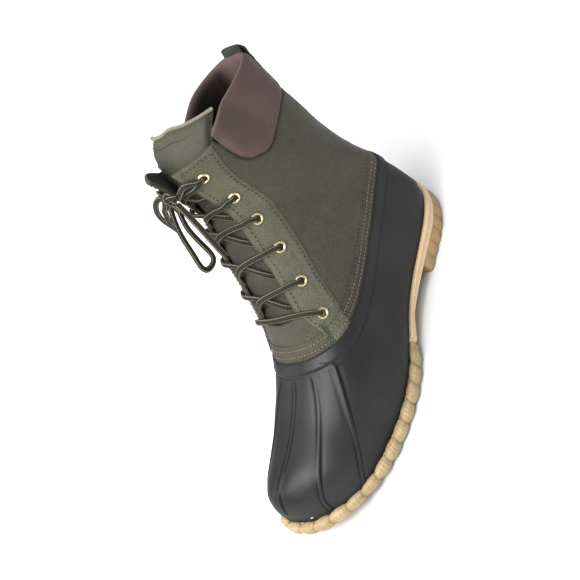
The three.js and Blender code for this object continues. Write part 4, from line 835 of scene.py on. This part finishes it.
def build_heel():
    # block with a row of rounded lugs round its side and grooves across the bottom
    n = 520; y0 = 70.0
    yy = y0 + (149.6 - y0) * np.sin(np.pi / 2 * np.linspace(0, 1, 700))
    lat = np.stack([smooth(OUTLINE, yy, 1), yy], 1); med = np.stack([smooth(OUTLINE, yy, 2), yy], 1)[::-1]
    run = np.concatenate([[[lat[0, 0], y0]], lat, med, [[med[-1, 0], y0]]]); L = np.concatenate([[0], np.cumsum(np.linalg.norm(np.diff(run, axis=0), axis=1))])
    at = np.linspace(0, L[-1], n); p = np.stack([np.interp(at, L, run[:, k]) for k in range(2)], 1)
    for _ in range(6): p[1:-1] = (p[:-2] + 2 * p[1:-1] + p[2:]) / 4
    t = unit(np.gradient(p, axis=0)); nr = np.stack([t[:, 1], -t[:, 0]], 1)
    pitch = L[-1] / 17; lobe = np.abs(np.sin(np.pi * at / pitch)) ** 0.45; notch = 1 - lobe
    def ring(z, d, k):
        return np.column_stack([p - nr * (d + 1.7 * notch * k)[:, None], np.full(n, z)])
    def stack(rings, dark):
        N = len(rings[0]); P = np.concatenate(rings); F = []
        for i in range(len(rings) - 1):
            for j in range(N): F.append([i * N + j, i * N + (j + 1) % N, (i + 1) * N + (j + 1) % N, (i + 1) * N + j])
        F.append(list(range(N))[::-1]); F.append([(len(rings) - 1) * N + j for j in range(N)])
        return P, orient(P, F), dark
    # painted shade in the notches between the side lugs, darker where the notch is deeper, none at the top
    def notch_shade(k): return 0.40 * notch ** 2 * k
    parts = []
    levels = ((2.4, 0.3, 1.0), (4.0, 0.0, 1.0), (6.4, -0.3, 1.0), (8.6, -0.2, 0.9), (10.2, 0.1, 0.6), (11.2, 0.5, 0.25), (12.2, 1.2, 0.0))
    parts.append(stack([ring(*l) for l in levels], np.concatenate([notch_shade(l[2]) for l in levels])))
    for ya, yb in ((y0, 84.2), (87.8, 100.2), (103.8, 116.2), (119.8, 132.2), (135.8, 150.0)):
        keep = (p[:, 1] >= ya - 1e-6) & (p[:, 1] <= yb); lv = ((0.0, 1.7, 1.0), (0.5, 0.9, 1.0), (1.4, 0.45, 1.0), (3.0, 0.3, 1.0)); rr = []
        for l in lv:
            q = ring(*l)[keep]; e = max(0.0, 1.2 - l[0]) * 0.6; q[:, 1] = np.clip(q[:, 1], ya + e, yb - e); rr.append(q)
        parts.append(stack(rr, np.concatenate([notch_shade(1.0)[keep] for _ in lv])))
    P, F, _ = merge([(a, b) for a, b, c in parts])
    make("gum_heel", P, F, [M_HEEL], None, {"dark": np.concatenate([c for a, b, c in parts])}, nodes=("heel",), sharp=50)


def build_rope():
    """rim of twisted lobes round the forefoot, waist to waist over the toe"""
    yy = -150 + (2.5 + 150) * (0.5 - 0.5 * np.cos(np.pi * np.linspace(0, 0.999, 1200)))
    yy = np.linspace(0, 1, 1600) ** 2 * 152.5 - 150
    lat = np.stack([smooth(OUTLINE, yy, 1), yy], 1)[::-1]; med = np.stack([smooth(OUTLINE, yy, 2), yy], 1)
    run = np.concatenate([lat, med]); L = np.concatenate([[0], np.cumsum(np.linalg.norm(np.diff(run, axis=0), axis=1))])
    n = 900; at = np.linspace(0, L[-1], n); p = np.stack([np.interp(at, L, run[:, k]) for k in range(2)], 1)
    for _ in range(30): p[1:-1] = (p[:-2] + 2 * p[1:-1] + p[2:]) / 4
    t = unit(np.gradient(p, axis=0)); nr = np.stack([-t[:, 1], t[:, 0]], 1)
    if nr[0, 0] < 0: nr = -nr
    y = p[:, 1]; zt = smooth(SEAT, y) + 1.6; zb = smooth(UNDER, y) + 1.2
    f = np.concatenate([form(np.linspace(0, 12, 240), np.full(240, s)) for s in (-1, -0.97, -0.94, 0.94, 0.97, 1)])[:, :2]
    near = np.array([np.min(np.hypot(*(f - q).T)) for q in p]); wid = np.minimum(9.5, near + 1.0)
    sides = 40; th = 2 * np.pi * np.arange(sides) / sides
    # th 0 = outward, pi/2 = up, pi = toward the shell
    c, s = np.cos(th), np.sin(th)
    cx = np.sign(c) * np.abs(c) ** 0.75; cy = np.sign(s) * np.abs(s) ** 0.75
    pitch = 15.5
    ph = at[:, None] / pitch + 0.34 * np.sin(th)[None, :] * 0 + 0.30 * (th[None, :] / np.pi - 0.5) * (th[None, :] < np.pi) + 0.30 * (0.5 - (th[None, :] - np.pi) / np.pi) * (th[None, :] >= np.pi)
    lobe = np.abs(np.sin(np.pi * ph)) ** 0.62; end = ease(np.minimum(at, L[-1] - at) / 6)[:, None]
    swell = (lobe - 0.72) * end
    inner = (np.cos(th) < 0.3)[None, :]
    amp = 1.5 + 0.9 * (1 - np.cos(th))[None, :] / 2
    hw = wid[:, None] / 2; hh = ((zt - zb) / 2)[:, None]
    a = cx[None, :] * hw + cx[None, :] * swell * amp * 1.0; b = cy[None, :] * hh + cy[None, :] * swell * 0.95
    fine = 0.12 * np.sin(ph * 2 * np.pi * 5) * lobe * end; a = a + cx[None, :] * fine; b = b + cy[None, :] * fine
    mid = p - nr * (wid / 2)[:, None]; zc = ((zt + zb) / 2)[:, None]
    P = np.stack([mid[:, None, 0] + nr[:, None, 0] * a, mid[:, None, 1] + nr[:, None, 1] * a, zc + b], -1)
    P[..., 1] = np.maximum(P[..., 1], -151.0); F = []
    for i in range(n - 1):
        for j in range(sides): F.append([i * sides + j, i * sides + (j + 1) % sides, (i + 1) * sides + (j + 1) % sides, (i + 1) * sides + j])
    F.append(list(range(sides))[::-1]); F.append([(n - 1) * sides + j for j in range(sides)])
    P = P.reshape(-1, 3); F = orient(P, F)
    # dark attribute: painted shade in the grooves between the lobes, fading out at the ends
    make("rope_rim", P, F, [M_ROPE], None, {"dark": (0.72 * (1 - lobe) ** 2.4 * end).ravel()}, nodes=("welt",), sharp=None)


def build_insole():
    ys = np.linspace(-136, 134.5, 90)
    ye = spline(SECTIONS, MOM, np.linspace(0, CLOSED, 1200)); L = []
    xl = np.interp(ys, ye[:, 2], ye[:, 4]); xm = np.interp(ys, ye[:, 2], ye[:, 5]); sl = np.gradient(xl, ys); sm = np.gradient(xm, ys)
    xl = xl - 4.9 * np.hypot(1, sl); xm = xm + 4.9 * np.hypot(1, sm); c = (xl + xm) / 2; xl = np.maximum(xl, c + 2); xm = np.minimum(xm, c - 2)
    v = np.linspace(-1, 1, 31); z = smooth(SEAT, ys) + 0.3
    X = c[:, None] + (xl - xm)[:, None] / 2 * v; Z = z[:, None] + 2.7 + 1.1 * np.abs(v) ** 3 + 0.25 * np.sin(ys / 5)[:, None] * (1 - v * v)
    A = np.stack([X, np.broadcast_to(ys[:, None], X.shape), Z], -1); B = A.copy(); B[..., 2] = z[:, None]
    n = np.zeros_like(A); n[..., 2] = 1
    P, F, kind, att = wall([{"p": A, "n": n, "out": np.zeros(X.shape), "inn": A[..., 2] - B[..., 2]}], bulge=0.1)
    make("insole_felt", P, orient(P, F), [M_INSOLE], nodes=("insole",))


# --------------------------------------------------------------- pull webbing
def build_loop():
    pts = []
    for t in (21.9, 22.2, 22.5, 22.8, 23.0): pts.append(on(t, 1.0, 3.3) + np.array([0, 0, 0]))
    top = form(23.0, 1.0)
    pts += [(0, top[1] + 2.4, top[2] + 3.0), (0, top[1] + 0.6, top[2] + 5.6), (0, top[1] - 1.4, top[2] + 5.4), (0, top[1] - 3.4, top[2] + 2.0), (0, top[1] - 5.0, top[2] - 2.0), (0, top[1] - 6.0, top[2] - 6.0)]
    path = fair([tuple(float(x) for x in (0 if i == 0 else p[0], p[1], p[2])) for i, p in enumerate(pts)], 64); path[:, 0] = 0
    d = unit(np.gradient(path, axis=0)); n = unit(np.cross(np.array([1.0, 0, 0]), d)); n = np.where((n[0, 1] < 0), -n, n)
    w = np.linspace(-1, 1, 25); H = 9.5
    X = np.broadcast_to(w * H, (64, 25)); bend = -(w ** 2) * 1.1
    k = np.linspace(0, 1, 64)[:, None]; wrink = 0.25 * np.sin(k * 40 + w * 3)
    A = np.stack([X, path[:, None, 1] + n[:, None, 1] * (bend + wrink), path[:, None, 2] + n[:, None, 2] * (bend + wrink)], -1)
    N = np.broadcast_to(n[:, None, :], A.shape)
    e = 0.35 * (np.abs(w) > 0.9)
    P, F, kind, att = wall([{"p": A, "n": N, "out": np.broadcast_to(0.9 - e, X.shape), "inn": np.broadcast_to(0.9 - e, X.shape)}], bulge=0.2)
    o = make("pull_loop_webbing", P, orient(P, F), [M_WEB], nodes=("pull_loop",))
    pl = []
    for i in range(3, 22, 2):
        for x in (-8.0, 8.0): pl.append((path[i] + np.array([x, 0, 0]) + n[i] * 0.2, d[i], n[i]))
    for x in np.arange(-6.5, 7, 2.6):
        for i in (3, 14): pl.append((path[i] + np.array([x, 0, 0]) + n[i] * (0.9 - 1.1 * (x / 12) ** 2), np.array([1.0, 0, 0]), n[i]))
    P, F, _ = beads(pl, 1.9, 0.42, 0.3); make("pull_loop_stitches", P, F, [M_THREAD2], sharp=None)


# -------------------------------------------------------------------- eyelets
def build_eyelets():
    rings, discs = [], []
    prof = [(2.6, -1.2), (2.6, 0.5), (2.75, 0.95), (3.1, 1.22), (3.6, 1.25), (4.1, 1.0), (4.45, 0.55), (4.55, 0.1), (4.5, -0.2), (3.2, -0.6)]
    N = 40; th = 2 * np.pi * np.arange(N) / N; cad = []
    for i, (t, s) in enumerate(EYELETS):
        for sg, side in ((1, "lateral"), (-1, "medial")):
            c = form(t, sg * s); n = normal(t, sg * s); u = unit(np.cross(n, [0, 1, 0])); v = np.cross(n, u); c = c + n * 0.95
            P = np.array([[c + u * r * math.cos(a) + v * r * math.sin(a) + n * h for (r, h) in prof] for a in th]).reshape(-1, 3); K = len(prof); F = []
            for a in range(N):
                for b in range(K): F.append([a * K + b, a * K + (b + 1) % K, ((a + 1) % N) * K + (b + 1) % K, ((a + 1) % N) * K + b])
            rings.append((P, orient(P, F)))
            D = [c + n * 0.12]; D += [c + u * 2.75 * math.cos(a) + v * 2.75 * math.sin(a) + n * 0.12 for a in th]; D += [p - n * 0.6 for p in D]; M = N + 1; f = []
            for a in range(N): q = (a + 1) % N; f += [[0, 1 + a, 1 + q], [M, M + 1 + q, M + 1 + a], [1 + a, M + 1 + a, M + 1 + q, 1 + q]]
            D = np.array(D); discs.append((D, orient(D, f))); cad.append(f"eyelet_{side}_{i + 1}")
    P, F, _ = merge(rings); make("eyelet_rings", P, F, [M_BRASS], nodes=cad, sharp=40)
    # near-black discs filling the eyelet holes: painted shade inside the holes
    P, F, _ = merge(discs); make("eyelet_holes", P, F, [M_HOLE_SHADE])


# ---------------------------------------------------------------------- laces
HALF_W, HALF_H = 2.3, 1.2


def lace_leg(rows, n=60, flip=0.0):
    """rows of (t, s, off); the lace lies flat on the surface"""
    q = fair(np.array([np.concatenate([on(t, s, o), [t, s, o]]) for t, s, o in rows]), n)
    up = normal(q[:, 3], q[:, 4])
    return tube(q[:, :3], HALF_W, HALF_H, up=up, sides=16)


def build_laces():
    legs = []
    for k in range(5):
        ta, sa = EYELETS[k + 1]; tb, sb = EYELETS[k]; fa = float(smooth(FACING, ta)); dt = ta - tb
        fb = float(smooth(FACING, tb + dt * 0.2))
        for sg, lift in ((1, 0.0), (-1, 2.4)):
            a = ta - dt * 0.06
            rows = [(ta - dt * 0.00, sg * (fa + 0.035), -2.9), (a, sg * (fa - 0.012), -2.6), (ta - dt * 0.16, sg * (fa - 0.055), -0.2), (ta - dt * 0.45, -sg * 0.0, 1.5 + lift), (tb + dt * 0.34, -sg * (fb - 0.03), 2.6),
                    (tb + dt * 0.22, -sg * (fb + 0.02), 3.2), (tb + dt * 0.09, -sg * (sb - 0.040), 2.9), (tb + dt * 0.025, -sg * (sb - 0.010), 1.9), (tb, -sg * sb, 0.2), (tb, -sg * (sb + 0.002), -1.5)]
            legs.append(lace_leg(rows))
    t, s = EYELETS[5]; f = float(smooth(FACING, t))
    rows = [(t, s, -1.4), (t + 0.005, s - 0.004, 0.6), (t - 0.01, s - 0.022, 2.4), (t - 0.05, s * 0.72, 3.2), (t - 0.13, s * 0.42, 2.6), (t - 0.20, 0.0, 2.5), (t - 0.13, -s * 0.42, 2.6), (t - 0.05, -s * 0.72, 3.2), (t - 0.01, -(s - 0.022), 2.4), (t + 0.005, -(s - 0.004), 0.6), (t, -s, -1.4)]
    legs.append(lace_leg(rows, 110))
    P, F, uv = merge(legs)
    make("laces_through_eyelets", P, F, [M_LACE], uv=uv, nodes=["lace_cross_%d" % i for i in range(1, 6)] + ["lace_bar"], sharp=None)
    # from the top eyelets to the knot: over the facing edge, inward and up
    tops = []
    for sg in (1, -1):
        t, s = EYELETS[0]
        a = [on(t, sg * (s + 0.0), -1.0), on(t + 0.02, sg * (s - 0.01), 1.6), on(t + 0.1, sg * (s - 0.035), 3.2), on(t + 0.35, sg * (0.10), 3.4)]
        tops.append(tube(fair(a + [np.array([sg * 7.0, 20.5, 223.0]), np.array([sg * 3.4, 18.6, 226.6])], 44), HALF_W, HALF_H, up=(0, -1, 0.3), sides=16))
    P, F, uv = merge(tops); make("lace_tops", P, F, [M_LACE], uv=uv, sharp=None)


BOW_FRONT = [(-1, 14.5, 222), (-3, 6, 211), (-4.5, 0, 200), (-5.5, -5.5, 188), (-6, -9.5, 179.5), (-6.3, -9, 173.5), (-6.3, -3.5, 170.5), (-6, 2, 172), (-5.2, 4.5, 180), (-4, 6, 190), (-2.2, 9, 203), (1.5, 14, 215)]
BOW_SIDE = [(-9.5, 18.2, 228.2), (-15, 17, 225), (-24, 16.5, 215), (-29, 17, 204), (-30, 17.5, 197), (-27, 15.5, 194), (-22, 13, 198), (-17, 12.5, 208), (-10.5, 14.5, 219.5)]
END_FRONT = [(4.5, 16.5, 221), (8, 12, 211), (11, 6, 197), (12.5, 1, 184), (13, -2, 174)]


def build_bow():
    def cord(name, pts, up, node, n):
        path = fair(pts, n); P, F, uv = tube(path, HALF_W, HALF_H, up=up, sides=16)
        o = make(name, P, F, [M_LACE], uv=uv, nodes=node, sharp=None)
        return o
    cord("bow_loop_front", BOW_FRONT, (1, 0.1, 0), ["lace_loop_front", "lace_knot"], 100)
    cord("bow_loop_side", BOW_SIDE, (0.2, -1, 0.3), ["lace_loop_side"], 80)
    cord("bow_end", END_FRONT, (1, -0.4, 0), ["lace_end"], 50)
    # the knot: a wrap round the middle and the strands that pull into it
    parts = []
    a = np.linspace(0, 2 * np.pi, 50)
    wrap = np.stack([0.6 * np.sin(a * 2) + 0.3, 18.2 + 3.4 * np.cos(a), 226.2 + 4.3 * np.sin(a)], 1); parts.append(tube(wrap, 2.2, 1.3, up=unit(wrap - np.array([0.3, 18.2, 226.2])), sides=14))
    for q in ([(-9.6, 18.2, 228.2), (-6.5, 18.6, 228.8), (-3, 18.4, 228.0), (0, 17.6, 226.8), (2.4, 16.6, 223.6), (4.5, 16.5, 221)],
              [(-10.6, 14.5, 219.5), (-7, 15.2, 222.0), (-3.5, 15.6, 225.0), (0.5, 16.2, 227.2), (4.5, 17.4, 227.6), (7.0, 19.4, 225.5)],
              [(-1, 14.5, 222), (-0.6, 15.6, 224.4), (0.2, 17.0, 227.0), (1.6, 18.8, 229.6), (3.6, 19.6, 229.0), (5.0, 19.0, 226.0)],
              [(1.5, 14, 215), (1.2, 14.8, 218.5), (0.4, 15.6, 222.5), (-1.5, 17.4, 226.0), (-4.4, 19.4, 227.0), (-7.0, 20.4, 224.0)]):
        parts.append(tube(fair(q, 40), HALF_W, HALF_H * 1.15, up=(0.0, -1, 0.35), sides=14))
    P, F, uv = merge(parts); make("bow_knot", P, F, [M_LACE], uv=uv, sharp=None)


build_shell(); build_upper(); build_eyestays(); build_stitches(); build_pad(); build_tongue()
build_sole(); build_heel(); build_rope(); build_insole(); build_loop(); build_eyelets(); build_laces(); build_bow()

# --------------------------------------------------------- floor, light, camera
scene = bpy.context.scene
floor_m = Graph("pale_floor"); floor_m.set(Base_Color=floor_m.mix(floor_m.noise(400.0), (0.64, 0.64, 0.64), (0.67, 0.67, 0.67)), Roughness=0.9, Specular_IOR_Level=0.1)
me = bpy.data.meshes.new("floor"); me.from_pydata([(-8, -8, 0), (8, -8, 0), (8, 8, 0), (-8, 8, 0)], [], [(0, 1, 2, 3)]); me.materials.append(floor_m.m)
floor = bpy.data.objects.new("floor", me); scene.collection.objects.link(floor); floor.location.z = -0.0002
w = bpy.data.worlds.new("studio"); scene.world = w; w.use_nodes = True
w.node_tree.nodes["Background"].inputs[0].default_value = (0.93, 0.96, 1.0, 1); w.node_tree.nodes["Background"].inputs[1].default_value = 0.44


def area(name, at, to, size, power, colour=(1, 1, 1)):
    l = bpy.data.lights.new(name, "AREA"); l.shape = "RECTANGLE"; l.size, l.size_y = size; l.energy = power; l.color = colour
    o = bpy.data.objects.new(name, l); scene.collection.objects.link(o); o.location = at
    o.rotation_mode = "QUATERNION"; o.rotation_quaternion = (Vector(to) - Vector(at)).to_track_quat("-Z", "Y")
    return o


area("top_light", (0.05, -0.80, 1.48), (0, 0, 0.08), (1.3, 1.0), 36)
area("sheen_light", (0.62, -0.95, 1.2), (0, -0.05, 0.05), (1.0, 1.0), 26)
area("back_light", (-0.95, 1.25, 1.7), (-0.75, 0.95, 0.0), (1.8, 1.8), 34)
area("front_light", (-1.3, -0.8, 0.8), (0, -0.02, 0.1), (0.8, 0.8), 6)
area("side_light", (1.3, 0.9, 1.3), (0, 0, 0.12), (1.0, 1.0), 2)

VIEW_BACK = Vector((0.7654, -0.3930, 0.5096)).normalized(); VIEW_UP = Vector((0.1459, 0.8772, 0.4574))
EYE = Vector((0.74215, -0.38035, 0.6813)); LENS = 71.70
AIM = Vector((0.003, 0.004, 0.105)); ZOOM = 1.19
back = (EYE - AIM).normalized(); up = (VIEW_UP - back * VIEW_UP.dot(back)).normalized(); right = up.cross(back)
cam_d = bpy.data.cameras.new("camera"); cam = bpy.data.objects.new("camera", cam_d); scene.collection.objects.link(cam); scene.camera = cam
cam_d.lens = LENS * ZOOM; cam_d.sensor_width = 36; cam_d.clip_start = 0.05; cam_d.clip_end = 30
cam.matrix_world = Matrix(((right.x, up.x, back.x, EYE.x), (right.y, up.y, back.y, EYE.y), (right.z, up.z, back.z, EYE.z), (0, 0, 0, 1)))
scene.view_settings.view_transform = "Standard"; scene.view_settings.look = "None"; scene.view_settings.exposure = 0.0
